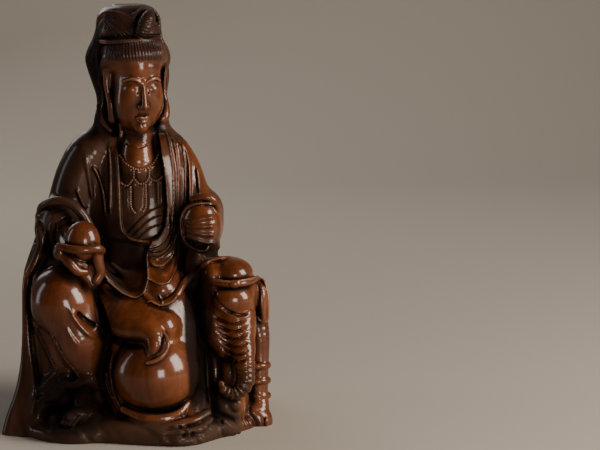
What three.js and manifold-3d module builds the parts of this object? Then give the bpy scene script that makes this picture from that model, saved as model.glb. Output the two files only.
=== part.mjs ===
import * as THREE from 'three';
import { mergeVertices } from 'three/addons/utils/BufferGeometryUtils.js';
import Module from 'manifold-3d';

// A seated figure of Guanyin with an elephant, carved with its rock base from one block of wood.
// Millimetres, +Z up, +X to the viewer's right, the figure faces -Y.

// Driving sizes
const FIGURE_HEIGHT = 410;
const SAMPLE_STEP = 2.5;
const TRIANGLES = 9000;

// Places and radii below are shares of the height: one unit is a 410th of it.
const unit = FIGURE_HEIGHT / 410;
const BLOCK_FROM = [-144, -138, -12];
const BLOCK_TO = [144, 114, 426];
const LEAST_CREASE = 2.8;
const LEAST_GROOVE = 0.8;
const LEAST_EDGE = 1.2;
const SPLINE_STEPS = 4;

const clamp01 = (value) => Math.min(Math.max(value, 0), 1);
const ease = (t) => t * t * (3 - 2 * t);
const eased = (t) => ease(clamp01(t));

// The lesser of two distances, rounded where they are within k of each other.
function smoothMin(a, b, k) {
  if (k <= 0) return Math.min(a, b);
  const h = Math.max(k - Math.abs(a - b), 0) / k;
  return Math.min(a, b) - (h * h * k) / 4;
}

// A Catmull-Rom curve through the rows of points; a row may hold a radius after its place.
function spline(points) {
  if (points.length < 3) return points;
  const last = points.length - 1;
  const before = points[0].map((v, i) => 2 * v - points[1][i]);
  const after = points[last].map((v, i) => 2 * v - points[last - 1][i]);
  const p = [before, ...points, after];
  const rows = [];
  for (let n = 1; n < p.length - 2; n += 1) {
    for (let step = 0; step < SPLINE_STEPS; step += 1) {
      const t = step / SPLINE_STEPS;
      rows.push(p[n].map((b, i) => {
        const a = p[n - 1][i];
        const c = p[n + 1][i];
        const d = p[n + 2][i];
        return (2 * b + (c - a) * t + (2 * a - 5 * b + 4 * c - d) * t * t + (3 * b - a - 3 * c + d) * t ** 3) / 2;
      }));
    }
  }
  rows.push(points[last]);
  return rows;
}

// Rotation for [turn about Z, pitch about X, lean about Y] in degrees.
function turned([turn = 0, pitch = 0, lean = 0]) {
  const [a, b, c] = [turn, pitch, lean].map(THREE.MathUtils.degToRad);
  const matrix = new THREE.Matrix4().makeRotationZ(a);
  matrix.multiply(new THREE.Matrix4().makeRotationY(c));
  matrix.multiply(new THREE.Matrix4().makeRotationX(b));
  return matrix;
}

// A field in its own frame, set at origin and turned; reach is the half size of its box.
function posed(field, origin, turn, reach) {
  const m = turned(turn).elements;
  const distance = (x, y, z) => {
    const [dx, dy, dz] = [x - origin[0], y - origin[1], z - origin[2]];
    return field(
      m[0] * dx + m[1] * dy + m[2] * dz,
      m[4] * dx + m[5] * dy + m[6] * dz,
      m[8] * dx + m[9] * dy + m[10] * dz,
    );
  };
  return { distance, lo: origin.map((v) => v - reach), hi: origin.map((v) => v + reach) };
}

// An ellipsoid.
function ball(centre, [rx, ry, rz], turn = null) {
  const field = (x, y, z) => {
    const near = Math.hypot(x / rx, y / ry, z / rz) + 1e-9;
    const slope = Math.hypot(x / rx ** 2, y / ry ** 2, z / rz ** 2) + 1e-9;
    return (near * (near - 1)) / slope;
  };
  return posed(field, centre, turn ?? [0, 0, 0], Math.max(rx, ry, rz));
}

// A round limb through stations [x, y, z, radius]; flat makes its section oval,
// and rings [pitch, depth] cut it with grooves across its length.
function limb(stations, flat = [1, 1, 1], rings = null) {
  const rows = spline(stations).map(([x, y, z, r]) => [x / flat[0], y / flat[1], z / flat[2], r]);
  const spans = [];
  let run = 0;
  for (let i = 0; i + 1 < rows.length; i += 1) {
    const [a, b] = [rows[i], rows[i + 1]];
    const d = [b[0] - a[0], b[1] - a[1], b[2] - a[2]];
    const length = Math.hypot(...d);
    spans.push({ a, d, length, taper: b[3] - a[3], run });
    run += length;
  }
  const distance = (px, py, pz) => {
    const [x, y, z] = [px / flat[0], py / flat[1], pz / flat[2]];
    let best = Infinity;
    let along = 0;
    for (const { a, d, length, taper, run: start } of spans) {
      const [ex, ey, ez] = [x - a[0], y - a[1], z - a[2]];
      const t = clamp01((ex * d[0] + ey * d[1] + ez * d[2]) / (length * length + 1e-9));
      const gap = Math.hypot(ex - t * d[0], ey - t * d[1], ez - t * d[2]) - a[3] - taper * t;
      if (gap < best) {
        best = gap;
        along = start + t * length;
      }
    }
    if (rings) best += rings[1] * Math.abs(Math.cos((Math.PI * along) / rings[0])) ** 4;
    return best * Math.min(...flat);
  };
  const full = spline(stations);
  const thickest = Math.max(...full.map((row) => row[3]));
  const lo = [0, 1, 2].map((i) => Math.min(...full.map((row) => row[i] - row[3] * flat[i])));
  const hi = [0, 1, 2].map((i) => Math.max(...full.map((row) => row[i] + row[3] * flat[i])));
  return { distance, lo, hi, thickest };
}

// A stack of ovals, each [z, centre x, centre y, half width, depth in front, depth behind].
function loft(stations, power) {
  const rows = spline(stations);
  const [bottom, top] = [rows[0][0], rows[rows.length - 1][0]];
  const distance = (x, y, z) => {
    let i = 0;
    while (i < rows.length - 2 && rows[i + 1][0] < z) i += 1;
    const t = clamp01((z - rows[i][0]) / (rows[i + 1][0] - rows[i][0]));
    const [, cx, cy, rx, front, back] = rows[i].map((v, n) => v + (rows[i + 1][n] - v) * t);
    const ry = y < cy ? front : back;
    const [u, w] = [Math.abs(x - cx) / rx, Math.abs(y - cy) / ry];
    const near = (u ** power + w ** power) ** (1 / power) + 1e-9;
    const side = (near * (near - 1)) / (Math.hypot(u / rx, w / ry) + 1e-9);
    const cap = Math.max(bottom - z, z - top);
    return Math.min(Math.max(side, cap), 0) + Math.hypot(Math.max(side, 0), Math.max(cap, 0));
  };
  const lo = [Math.min(...rows.map((r) => r[1] - r[3])), Math.min(...rows.map((r) => r[2] - r[4])), bottom];
  const hi = [Math.max(...rows.map((r) => r[1] + r[3])), Math.max(...rows.map((r) => r[2] + r[5])), top];
  return { distance, lo, hi };
}

// The distance of (x, z) from a line of rows [x, z], and the share of the line passed there.
function lineDistance(x, z, rows) {
  let best = Infinity;
  let along = 0;
  for (let i = 0; i + 1 < rows.length; i += 1) {
    const [a, b] = [rows[i], rows[i + 1]];
    const [dx, dz] = [b[0] - a[0], b[1] - a[1]];
    const t = clamp01(((x - a[0]) * dx + (z - a[1]) * dz) / (dx * dx + dz * dz + 1e-9));
    const gap = Math.hypot(x - a[0] - t * dx, z - a[1] - t * dz);
    if (gap < best) {
      best = gap;
      along = (i + t) / (rows.length - 1);
    }
  }
  return [best, along];
}

// 1 between the two depths of reach, fading to 0 outside them over 4 units.
const depthGate = (y, [front, back]) => clamp01((y - front) / 4) * clamp01((back - y) / 4);

// Forms added and cut in order, and creases raised or sunk along lines seen from the front.
class Carving {
  constructor() {
    this.steps = [];
  }

  add(form, blend) {
    this.steps.push({ kind: 'add', blend, pad: blend + 12, ...form });
  }

  // Grooves finer than the least one are left to the finish.
  cut(form, blend) {
    if (form.thickest < LEAST_GROOVE) return;
    this.steps.push({ kind: 'cut', blend, pad: blend + 1, ...form });
  }

  // A crease along a line [[x, z], ...]; a height under 0 is a groove.
  mark(line, drawnWidth, height, reach, ends = 0.15) {
    const rows = spline(line);
    const width = Math.max(drawnWidth, LEAST_CREASE);
    const distance = (x, y, z) => {
      const [gap, along] = lineDistance(x, z, rows);
      const fade = eased(Math.min(along, 1 - along) / ends);
      return -height * eased(1 - gap / width) * fade * depthGate(y, reach);
    };
    this.steps.push({ kind: 'mark', distance, pad: 0, ...this.lineBox(rows, 2 * width, reach) });
  }

  // The area inside a closed outline [[x, z], ...], raised, or sunk where height is under 0.
  panel(outline, height, drawnEdge, reach) {
    const rows = spline([...outline, outline[0]]);
    const edge = Math.max(drawnEdge, LEAST_EDGE);
    const distance = (x, y, z) => {
      const [gap] = lineDistance(x, z, rows);
      let inside = false;
      for (let i = 0; i + 1 < rows.length; i += 1) {
        const [a, b] = [rows[i], rows[i + 1]];
        const crosses = a[1] > z !== b[1] > z;
        if (crosses && x < a[0] + ((z - a[1]) * (b[0] - a[0])) / (b[1] - a[1])) inside = !inside;
      }
      return -height * eased((inside ? gap : -gap) / (2 * edge) + 0.5) * depthGate(y, reach);
    };
    this.steps.push({ kind: 'mark', distance, pad: 0, ...this.lineBox(rows, edge, reach) });
  }

  // The skin raised by a height worked out from the place, inside a box.
  relief(height, lo, hi) {
    this.steps.push({ kind: 'mark', distance: (x, y, z) => -height(x, y, z), pad: 0, lo, hi });
  }

  lineBox(rows, margin, reach) {
    const [xs, zs] = [rows.map((r) => r[0]), rows.map((r) => r[1])];
    const lo = [Math.min(...xs) - margin, reach[0], Math.min(...zs) - margin];
    const hi = [Math.max(...xs) + margin, reach[1], Math.max(...zs) + margin];
    return { lo, hi };
  }

  // The steps that reach into a box.
  near(lo, hi) {
    return this.steps.filter((step) => lo.every((v, i) => step.lo[i] - step.pad <= hi[i] && step.hi[i] + step.pad >= v));
  }

  // Below 0 in the wood; as far as can be where no step reaches.
  field(x, y, z, steps = this.steps) {
    let d = Infinity;
    for (const { kind, distance, blend, pad, lo, hi } of steps) {
      if (x < lo[0] - pad || y < lo[1] - pad || z < lo[2] - pad) continue;
      if (x > hi[0] + pad || y > hi[1] + pad || z > hi[2] + pad) continue;
      const value = distance(x, y, z);
      if (kind === 'add') d = smoothMin(d, value, blend);
      else if (kind === 'cut') d = -smoothMin(-d, value, blend);
      else d += value;
    }
    return d;
  }
}

// The head's place, its turn and its sizes as shares of the common head, and the jewel in the right hand
const HEAD = [2, -10, 336];
const HEAD_TURN = [14, 9, 0];
const HEAD_SIZE = [0.9, 1, 1.13];
const JEWEL = [-50, -77, 185];

// Depths between which a crease is carved
const FRONT = [-130, -10];
const BACK = [20, 200];

// Upright ridges: the square of a sine of x that wavers with height, faded at the ends of the band.
function flutes(x, y, z) {
  const waver = 1.4 * Math.sin(x / 9) + 0.9 * Math.sin(z / 4 + x / 5);
  const ridge = Math.sin(x / 2.3 + waver) ** 2;
  const band = eased((z - 2) / 4) * eased((23 - z) / 5) * eased((x + 70) / 10) * eased((22 - x) / 10);
  return 2.4 * (ridge - 0.5) * band * eased((-78 - y) / 6);
}

function rockBase(block) {
  block.add(loft([[-12, 0, 0, 106, 96, 92], [8, 0, 0, 106, 98, 92], [20, 0, 0, 100, 92, 86],
    [28, 0, 4, 90, 78, 80]], 3), 0);
  block.add(limb([[-104.5, -58, 4.4, 8], [-87, -80, 4.1, 11], [-62.5, -94, 5.7, 12],
    [-33.5, -90, 6.5, 15], [0, -98, 8, 16], [33.5, -104, 8.5, 16], [60.5, -96, 8, 14],
    [80.5, -76, 4, 11], [105, -52, 2.8, 9]], [1, 1, 0.9]), 8);
  // The full wood behind the legs
  block.add(loft([[12, -25, -20, 76, 44, 44], [50, -28, -20, 64, 40, 44], [96, -26, -18, 54, 34, 44]],
    3), 4);
  // Layers of cloth and rock before the bent knee
  block.add(ball([26, -86, 7.5], [44, 32, 13]), 8);
  block.add(limb([[-6.5, -96, 19, 6], [14.5, -108, 16.5, 6], [35.5, -112, 19.5, 6], [52.5, -108, 22, 6],
    [66, -98, 26.5, 5]], [1, 1, 0.7]), 3);
  block.add(limb([[4.8, -110, 10, 5], [24, -117, 12.5, 5], [43, -118, 14, 5], [60, -110, 16, 5],
    [69, -98, 20.5, 4]], [1, 1, 0.7]), 2);
  block.add(limb([[25.5, -116, 5.6, 5], [41, -119, 5.4, 6], [56.5, -112, 4.5, 6], [68, -100, 5.3, 6]],
    [1, 1, 0.9]), 2);
  // Folded cloth at the right of the knee
  block.add(limb([[59, -84, 39, 7], [53, -94, 31.5, 8], [50, -100, 25, 6]], [1.2, 1, 1]), 3);
  block.add(limb([[49, -96, 38, 2], [44, -102, 31.5, 2.2], [43, -105, 25.5, 2], [50.5, -107, 22, 2],
    [60.5, -104, 23, 2], [68, -98, 27.5, 2]]), 1.5);
  // The strip of bark between the knee and the elephant
  block.add(limb([[62.5, -48, 101, 9], [62.5, -58, 78.5, 9], [62, -68, 51, 9], [63, -82, 26.5, 9]],
    [0.9, 1.4, 1]), 4);
  block.mark([[66.5, 86], [67.5, 66.5], [68, 48.5], [70.5, 30.5]], 2.2, 2.6, [-130, -40]);
  // Rock behind the trunk and under the elephant
  block.add(ball([85, -52, 25], [22, 30, 24]), 5);
  block.add(limb([[86, -26, 71.5, 22], [86, -30, 50, 22], [86, -38, 25.5, 24]]), 6);
  block.add(limb([[87, 0, 30, 30], [92, 50, 22, 30]], [1.15, 1, 1.4]), 8);
  block.add(ball([94, -74, 29.5], [9, 9, 9]), 1.5);
  block.cut(limb([[68, -92, 50.5, 3], [77.5, -94, 48, 2], [87.5, -92, 44.5, 2]], [1, 3, 1]), 2);
  // Rough flutes along the front of the base
  block.relief(flutes, [-70, -125, 2], [22, -78, 24]);
  // Left foot and its toes
  block.add(limb([[72.5, -84, 9, 8], [82, -86, 9.5, 9.5], [92, -82, 6.5, 7]], [1, 1, 0.95]), 2);
  for (let k = 0; k < 4; k += 1) {
    block.add(limb([[83.5 + 2.1 * k, -92 + 3 * k, 16 - 2.2 * k, 2.6],
      [90.5 + 2.5 * k, -90 + 4 * k, 9.5 - 2.3 * k, 2.5]]), 0.6);
  }
}

function backDrape(block) {
  block.add(loft([[-12, -10, 22, 112, 60, 74], [60, -8, 20, 98, 54, 70], [110, -6, 18, 88, 48, 62],
    [160, -1, 14, 80, 42, 52], [210, 3, 10, 70, 34, 46], [255, 2, 8, 58, 26, 40],
    [280, 0, 9, 42, 20, 36], [300, -1, 11, 32, 17, 32]], 2.3), 6);
  // Rim of the cape, then its broad face
  block.add(limb([[-95.5, -34, 179, 4.5], [-101.5, -40, 162, 4.5], [-105, -44, 145, 4.5],
    [-106, -46, 120.5, 4.2], [-106.5, -48, 91, 4.2], [-108.5, -51, 59, 4.6], [-114, -55, 35, 5],
    [-120, -58, 18.5, 6], [-124, -60, 0.9, 7], [-124.5, -60, -8, 7]]), 3);
  block.add(limb([[-84, -14, 157.5, 13], [-92, -20, 120.5, 13], [-96, -26, 81.5, 12],
    [-98.5, -34, 51, 12], [-104.5, -40, 24, 14], [-109.5, -44, -0.2, 16], [-111.5, -44, -15.5, 16]],
    [1, 1.5, 1]), 6);
  block.add(limb([[-66, 8, 212, 12], [-86, 6, 176, 14], [-97, 4, 126, 13], [-102, 4, 64, 12],
    [-116, 2, -17, 14]]), 10);
  block.add(limb([[-50, 26, 232, 12], [-76, 35, 168, 16], [-88, 40, 108, 14], [-99, 46, 45, 14],
    [-106, 54, -31, 16]]), 12);
  const folds = 5;
  for (let k = 0; k < folds; k += 1) {
    const u = (2 * k) / (folds - 1) - 1;
    block.mark([[8 * u, 262], [30 * u, 205], [60 * u - 5, 110], [88 * u - 9, 4]], 13, 4.2, BACK, 0.35);
    block.mark([[8 * u + 14, 205], [34 * u + 18, 150], [60 * u + 14, 80], [82 * u + 8, 4]],
      7, 2, BACK, 0.4);
  }
}

function torso(block) {
  block.add(ball([7, -14, 127], [56, 50, 40]), 10);
  block.add(ball([7, -28, 140], [44, 46, 30]), 8);
  block.add(loft([[120, 6, 2, 56, 54, 40], [150, 6, 2, 50, 50, 40], [190, 7, 2, 44, 41, 40],
    [225, 7, 2, 42, 36, 38], [255, 6, 3, 38, 29, 34], [275, 4, 5, 31, 20, 28], [290, 3, 8, 24, 12, 22]],
    2.4), 6);
  const sleeve = [1, 1.05, 1];
  block.add(limb([[-22, 4, 280, 12], [-41, 2, 268, 20.5], [-53, 2, 247, 22.5], [-61, 2, 221, 23],
    [-65, 0, 199, 24]], sleeve), 8);
  block.add(limb([[22, 4, 280, 11], [36, 2, 270, 16], [46, 2, 251, 18], [52.5, 2, 229, 19.5],
    [61, -4, 203, 21.5]], sleeve), 8);
  block.add(ball([4.9, -4, 252.5], [34, 27, 24]), 8);
  // Opening of the robe down to the sash
  const opening = [[-15.5, 294], [-16, 276], [-14.5, 256.5], [-14, 222.5], [-13, 199.5], [-9, 191],
    [1, 186.5], [10.5, 186], [20.5, 188.5], [28, 198], [31, 212.5], [30, 233], [27, 259.5], [23.5, 281],
    [18.5, 296]];
  block.panel(opening, -6, 0.9, [-60, 10]);
  // Sash low in the opening, in three folds
  for (let k = 0; k < 3; k += 1) {
    const sash = [[-9, 189 - 1.6 * k], [-1.9, 197.5 - 7.8 * k], [7, 206.5 - 7.9 * k],
      [16.5, 213.5 - 7.9 * k], [31, 216 - 7.9 * k], [34, 196], [24.5, 181.5], [4.9, 179.5]];
    block.panel(sash, 1.7, 0.8, [-60, 0]);
  }
  // Right collar band and the folds outside it
  const band = [[19.5, 300], [24.5, 281], [27.5, 260], [30.5, 233], [31.5, 213], [28.5, 197.5],
    [20.5, 187.5], [14.5, 184.5], [13.5, 176], [22.5, 176.5], [31, 183.5], [37, 199.5], [39, 223.5],
    [39, 252.5], [36, 279.5], [29, 298]];
  block.panel(band, 2.4, 0.8, FRONT);
  block.mark([[36, 296], [41.5, 276], [43.5, 247.5], [43, 209], [40, 182.5], [32, 167.5], [22.5, 163],
    [14.5, 165]], 2.6, 3, FRONT, 0.08);
  block.mark([[40, 261.5], [41, 218.5], [37, 187.5], [28, 174], [14.5, 170.5]], 2.4, 2.8, FRONT, 0.08);
  block.mark([[44.5, 179.5], [40.5, 163.5], [34, 153.5], [24, 149], [13.5, 153]], 2.8, 3, FRONT, 0.08);
  block.mark([[45.5, 164], [42.5, 153], [36, 144], [24, 138.5], [14.5, 141.5]], 2.6, 2.2, FRONT, 0.08);
  block.mark([[41, 296], [49.5, 275], [53.5, 255.5], [53.5, 222], [50.5, 200.5]], 3, 3.2, FRONT);
  block.mark([[48, 289], [58.5, 268], [62.5, 245.5], [63.5, 225]], 3, 3, FRONT);
  // Left panel of the robe over the right one, with its folds
  const left = [[-15.5, 294], [-16, 276], [-14.5, 256.5], [-14, 222.5], [-13, 199.5], [-8.5, 191.5],
    [1, 187.5], [8.5, 187.5], [12, 180], [11.5, 166], [10.5, 151], [4.8, 140], [-4.8, 138],
    [-16.5, 144], [-30, 157], [-35.5, 169.5], [-35, 185.5], [-31, 218.5], [-32, 252], [-30, 281],
    [-26.5, 295.5]];
  block.panel(left, 3, 0.8, FRONT);
  block.mark([[-24.5, 280.5], [-23, 246.5], [-24.5, 205.5]], 2.6, 2.6, FRONT);
  block.mark([[-41, 257.5], [-35, 246], [-30, 227], [-28.5, 204.5]], 2.8, 3.2, FRONT);
  block.mark([[-56.5, 235.5], [-52, 223], [-47, 213.5]], 3, 2.2, FRONT);
  block.mark([[-48, 269.5], [-44, 245.5], [-41, 221.5]], 3.4, 1.8, FRONT);
  for (let k = 0; k < 3; k += 1) {
    block.mark([[-26 + 3.9 * k, 189], [-18.5 + 3.9 * k, 177 - 2 * k], [-4.8 + 2.9 * k, 166 - 1.9 * k],
      [9.5, 162.5 - 2.9 * k]], 2.4, 1.4, FRONT);
  }
}

function rightArm(block) {
  block.add(ball([-73, -14, 193.5], [23.5, 26, 33]), 6);
  block.add(limb([[-92.5, -14, 206.5, 4], [-90, -24, 217, 4], [-81, -34, 223.5, 4],
    [-70, -39, 225, 4.2], [-58, -42, 219.5, 4.4], [-49.5, -42, 210, 5], [-44, -40, 196, 6],
    [-42, -38, 177.5, 7]]), 3);
  block.add(limb([[-92.5, -14, 206.5, 4], [-93, -30, 196, 4.4], [-91, -38, 183.5, 4.6],
    [-95, -42, 170.5, 5], [-101.5, -44, 157, 5]], [1, 1.2, 1]), 3);
  block.cut(limb([[-66.5, -52, 211.5, 8], [-75.5, -52, 199.5, 11], [-78.5, -52, 186, 10],
    [-80.5, -54, 172.5, 8], [-85.5, -52, 164.5, 5]], [1, 1.3, 1]), 2);
  for (let k = 0; k < 4; k += 1) {
    block.mark([[-87.5 + 3.9 * k, 187 + 1.9 * k], [-86 + 3.9 * k, 200.5 + 1 * k],
      [-77 + 3 * k, 211.5 - 1 * k], [-61.5 + 1 * k, 215 - 2.4 * k]], 2.2, 1.3, [-80, 0]);
  }
  // Forearm, and the hand with the round jewel
  block.add(limb([[-65.5, -34, 191, 12], [-63, -58, 183, 12], [-60.5, -74, 181, 10]]), 3);
  block.add(ball([-50, -77, 191], [17, 16, 20.5]), 1.5);
  block.add(ball([-71.5, -83, 182.5], [6.6, 8, 8.5]), 3);
  block.add(limb([[-71.5, -88, 189, 3.6], [-61.5, -95, 187.5, 4], [-48.5, -97, 186.5, 4.2],
    [-36, -92, 187, 4.4], [-32, -86, 184, 4.2]]), 1);
  block.add(limb([[-66, -86, 179, 6], [-61, -91, 172.5, 5.2], [-54.5, -91, 165.5, 4.4],
    [-47.5, -88, 164, 3.2]]), 1.5);
  block.add(limb([[-61, -80, 177, 6], [-54.5, -84, 172, 5], [-48, -84, 169, 4]]), 1.5);
  block.add(limb([[-36.5, -84, 182, 6.2], [-36.5, -84, 172, 5.6], [-32.5, -80, 164.5, 5]]), 1.5);
  block.add(ball([-38.5, -84, 155], [5.5, 6, 4.8]), 1.5);
}

function rightLeg(block) {
  block.add(limb([[-57, -40, 142, 24], [-34, -20, 124, 24], [-11, 0, 116, 24]]), 8);
  block.add(ball([-71.5, -58, 131], [31.5, 38, 35]), 0.5);
  block.add(limb([[-65, -62, 127, 27], [-59.5, -64, 109.5, 26.5], [-54, -66, 94, 25],
    [-50.5, -68, 80.5, 19.5], [-48.5, -70, 69, 14], [-46.5, -72, 58, 9.5]], [1, 1.12, 1]), 5);
  // Cloth hanging behind the shin in two layers
  block.add(limb([[-81, -50, 110.5, 20], [-77, -52, 93, 16.5], [-72, -54, 75.5, 14.5],
    [-65.5, -57, 60, 12], [-61.5, -60, 49, 9]], [1, 1.3, 1]), 1.5);
  block.add(limb([[-89, -40, 94.5, 14], [-86.5, -42, 75, 13], [-83.5, -46, 55.5, 12], [-86, -52, 41, 9],
    [-90, -58, 28.5, 6]], [1, 1.3, 1]), 1.5);
  // The recess between the leg and the cape
  block.cut(limb([[-102, -66, 141.5, 1.6], [-102.5, -66, 115, 1.8], [-100.5, -68, 85.5, 2.4],
    [-97, -70, 61.5, 3], [-95, -74, 40.5, 3], [-99, -78, 21.5, 3]], [1, 6, 1]), 2);
  block.mark([[-58, 127], [-52.5, 120], [-45, 113.5], [-37.5, 109]], 4.2, -4.5, FRONT, 0.2);
  block.mark([[-64, 134], [-58, 121], [-52.5, 112.5], [-45, 104.5], [-33.5, 96.5]], 4.2, 3, FRONT, 0.3);
  block.mark([[-69.5, 116], [-62, 102], [-52.5, 90.5]], 4, 1.2, FRONT, 0.3);
  // The robe's hem over the bare foot, and the ledge round it
  block.add(limb([[-35, -66, 52.5, 3], [-38.5, -78, 50, 3], [-45, -85, 57, 3.6], [-53, -85, 56.5, 3],
    [-58, -83, 53.5, 2.4], [-63.5, -80, 52.5, 2.6], [-69.5, -77, 53, 2.4], [-72, -76, 49, 2.4],
    [-75.5, -73, 42, 2.4], [-81.5, -71, 38, 2.4], [-88.5, -68, 36.5, 2.4], [-92.5, -66, 31.5, 2.4],
    [-95.5, -66, 22.5, 2.4], [-98.5, -66, 12.5, 2.4]]), 4);
  block.add(limb([[-67, -60, 63, 11], [-73, -60, 55, 11], [-81, -58, 48.5, 11], [-89, -54, 41.5, 9]],
    [1, 1.2, 1]), 4);
  block.add(ball([-44.5, -80, 56.5], [7.5, 7, 6.5]), 3);
  block.add(limb([[-51.5, -64, 46, 9.5], [-52.5, -74, 34.5, 9.5], [-49.5, -80, 27, 9]]), 3);
  block.add(limb([[-43.5, -76, 27, 8], [-53, -86, 24.5, 9], [-61.5, -93, 24.5, 7.6],
    [-66, -97, 24.5, 5.6]], [1, 1, 0.9]), 3);
  for (let k = 0; k < 4; k += 1) {
    block.add(limb([[-64.5 + 2.9 * k, -97 - 0.6 * k, 28 - 1.1 * k, 2.2],
      [-72 + 3.3 * k, -100 - 0.4 * k, 20 - 0.8 * k, 2.1]]), 0.5);
  }
  block.add(limb([[-81, -82, 20.5, 3.4], [-79, -91, 13, 4], [-72, -97, 7.5, 4.6], [-57.5, -99, 7, 5],
    [-45, -94, 13.5, 5], [-38.5, -86, 21.5, 5]]), 6);
}

function lap(block) {
  block.add(limb([[14, -30, 134, 28], [20, -48, 112, 34], [20, -62, 86, 34]], [1.04, 1, 1]), 8);
  block.add(ball([17.5, -79, 63.5], [41.5, 42, 41]), 2);
  block.add(limb([[40, -56, 115.5, 14], [41.5, -66, 105, 16], [39.5, -72, 86.5, 18]]), 6);
  // Folds round the knee at its left
  block.add(limb([[-17.5, -72, 86.5, 9], [-21, -76, 70.5, 9], [-19.5, -78, 48.5, 10],
    [-10.5, -84, 30, 10]]), 1.5);
  block.add(limb([[-23.5, -66, 85, 8.5], [-26.5, -68, 66, 8], [-24, -72, 44, 8.5],
    [-15.5, -80, 26, 8]]), 1.2);
  block.mark([[-27.5, 88], [-31.5, 70.5], [-28.5, 50.5], [-22, 36]], 2.6, 3, FRONT);
  block.mark([[-21, 88], [-25.5, 68.5], [-23, 48.5], [-14.5, 28.5]], 2.4, 2.4, FRONT);
  block.add(limb([[-12.5, -96, 31, 4], [4.8, -106, 25.5, 5], [22, -109, 24.5, 5],
    [37.5, -106, 27.5, 4.4], [47, -98, 35.5, 3]], [1, 1, 1.1]), 3);
  // The swag between the knees, the hollows round it and its gathered end
  block.add(limb([[-41, -34, 139, 10], [-33, -50, 132.5, 14], [-20.5, -62, 121, 18],
    [-3.9, -72, 114, 20], [10.5, -80, 111, 20], [24, -86, 108, 17]]), 7);
  block.add(limb([[-29.5, -38, 139, 15], [-9.5, -52, 132.5, 19], [14.5, -58, 128, 22],
    [36, -58, 122, 16]]), 8);
  block.add(limb([[-37, -56, 129.5, 6], [-29, -68, 117, 8], [-20, -78, 110.5, 9.5],
    [-7.5, -88, 108.5, 10], [5.7, -95, 109, 9.5], [15, -100, 106.5, 9]], [1, 1.2, 1]), 6);
  block.add(ball([-28.5, -44, 80.5], [24, 26, 28]), 4);
  block.add(limb([[4.8, -92, 109.5, 9], [14.5, -100, 106.5, 10], [18, -108, 98.5, 8.6],
    [17, -110, 90, 7]]), 3);
  block.cut(limb([[-27.5, -96, 102.5, 3.4], [-22, -98, 96, 4.6], [-12.5, -104, 94.5, 4.2],
    [-1.9, -110, 95, 4], [6.5, -116, 95, 3.2], [9.5, -118, 89, 1.8]], [1, 4, 1]), 1.5);
  block.cut(limb([[-43, -66, 143.5, 2], [-39, -72, 133.5, 3], [-34.5, -78, 124, 3.8],
    [-31, -82, 113, 4.4], [-28.5, -86, 101.5, 4.6], [-30, -86, 89.5, 4], [-32, -86, 75, 3.4],
    [-33.5, -86, 57, 2.6]], [1, 6, 1]), 2);
  block.cut(limb([[26.5, -112, 108, 1.2], [26.5, -118, 101.5, 1.6], [24.5, -121, 94.5, 1.7],
    [19, -122, 89, 1.7], [12.5, -121, 85.5, 1.5]], [1, 4, 1]), 1);
  block.add(limb([[9.5, -120, 81.5, 1.4], [16, -122, 83.5, 1.9], [22.5, -122, 87, 2],
    [27.5, -120, 92.5, 2], [29.5, -117, 99.5, 2], [27.5, -110, 105.5, 1.8], [22, -102, 109.5, 1.4]]), 2);
  // Hems of the robe over the lap
  block.add(limb([[-22, -58, 165.5, 14], [-12.5, -60, 158, 14], [-2.9, -60, 154, 13]]), 6);
  block.add(limb([[-33.5, -80, 167.5, 5], [-28, -78, 160.5, 4.6], [-21, -77, 153, 4],
    [-14.5, -76, 146, 3.6], [-6.5, -75, 141, 3.4], [0, -74, 140, 3.2], [5.8, -74, 144, 3],
    [9.5, -72, 151.5, 2.6]], [1, 1, 1]), 4);
  block.add(limb([[-30, -64, 144, 3.6], [-22, -70, 136.5, 3.6], [-13.5, -73, 130.5, 3.6],
    [-3.8, -75, 127.5, 3.6], [6.5, -76, 127, 3.4], [14.5, -77, 129, 3]]), 4);
  block.add(ball([24.5, -48, 142], [22, 34, 18]), 6);
  block.add(limb([[8.5, -78, 140, 3], [14.5, -81, 133.5, 3.4], [22, -83, 131, 3.6],
    [30.5, -82, 133, 3.8], [38.5, -78, 138, 4], [44.5, -68, 145.5, 4], [51.5, -56, 150.5, 4],
    [59.5, -50, 153, 3]], [1, 1, 0.9]), 2);
}

function leftArm(block) {
  block.add(limb([[66, 4, 206, 22], [64, -18, 197, 23], [62, -30, 195, 23]], [1, 1, 1.1]), 5);
  block.add(limb([[67.5, -30, 172.5, 13], [59.5, -38, 166, 11], [55.5, -42, 156.5, 9],
    [53.5, -44, 145, 8]]), 6);
  // The rolled mouth of the sleeve, with a fan of folds in its hollow
  block.add(ball([64, -40, 198.5], [19, 16, 26]), 4);
  block.cut(limb([[53, -50, 222, 1.4], [45, -52, 212.5, 1.8], [41.5, -54, 198, 2],
    [43, -54, 183.5, 1.8]], [1, 5, 1]), 2);
  block.cut(ball([69, -66, 209], [9, 12, 15], [0, 0, -10]), 3);
  block.cut(limb([[69, -50, 181.5, 2], [75.5, -50, 179, 3], [82.5, -50, 176, 2]], [1, 3, 1]), 1);
  block.add(limb([[55.5, -42, 225.5, 3], [66, -46, 228, 4], [73.5, -46, 225.5, 4.4],
    [79, -42, 217.5, 4.4], [79, -38, 205.5, 4.2], [77, -36, 191, 4.2], [79, -32, 177.5, 4]]), 2);
  block.mark([[69.5, 224], [60.5, 222.5], [52, 218], [46, 209], [44.5, 197.5], [48.5, 186.5],
    [56, 178.5], [67, 175.5]], 2, 2.6, FRONT, 0.08);
  for (let k = 0; k < 6; k += 1) {
    block.mark([[45.5, 200 - 1.1 * k], [56, 212 - 4.5 * k], [71.5 + 0.1 * k, 222 - 8.4 * k]],
      2.8, 3, FRONT, 0.08);
  }
}

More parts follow.
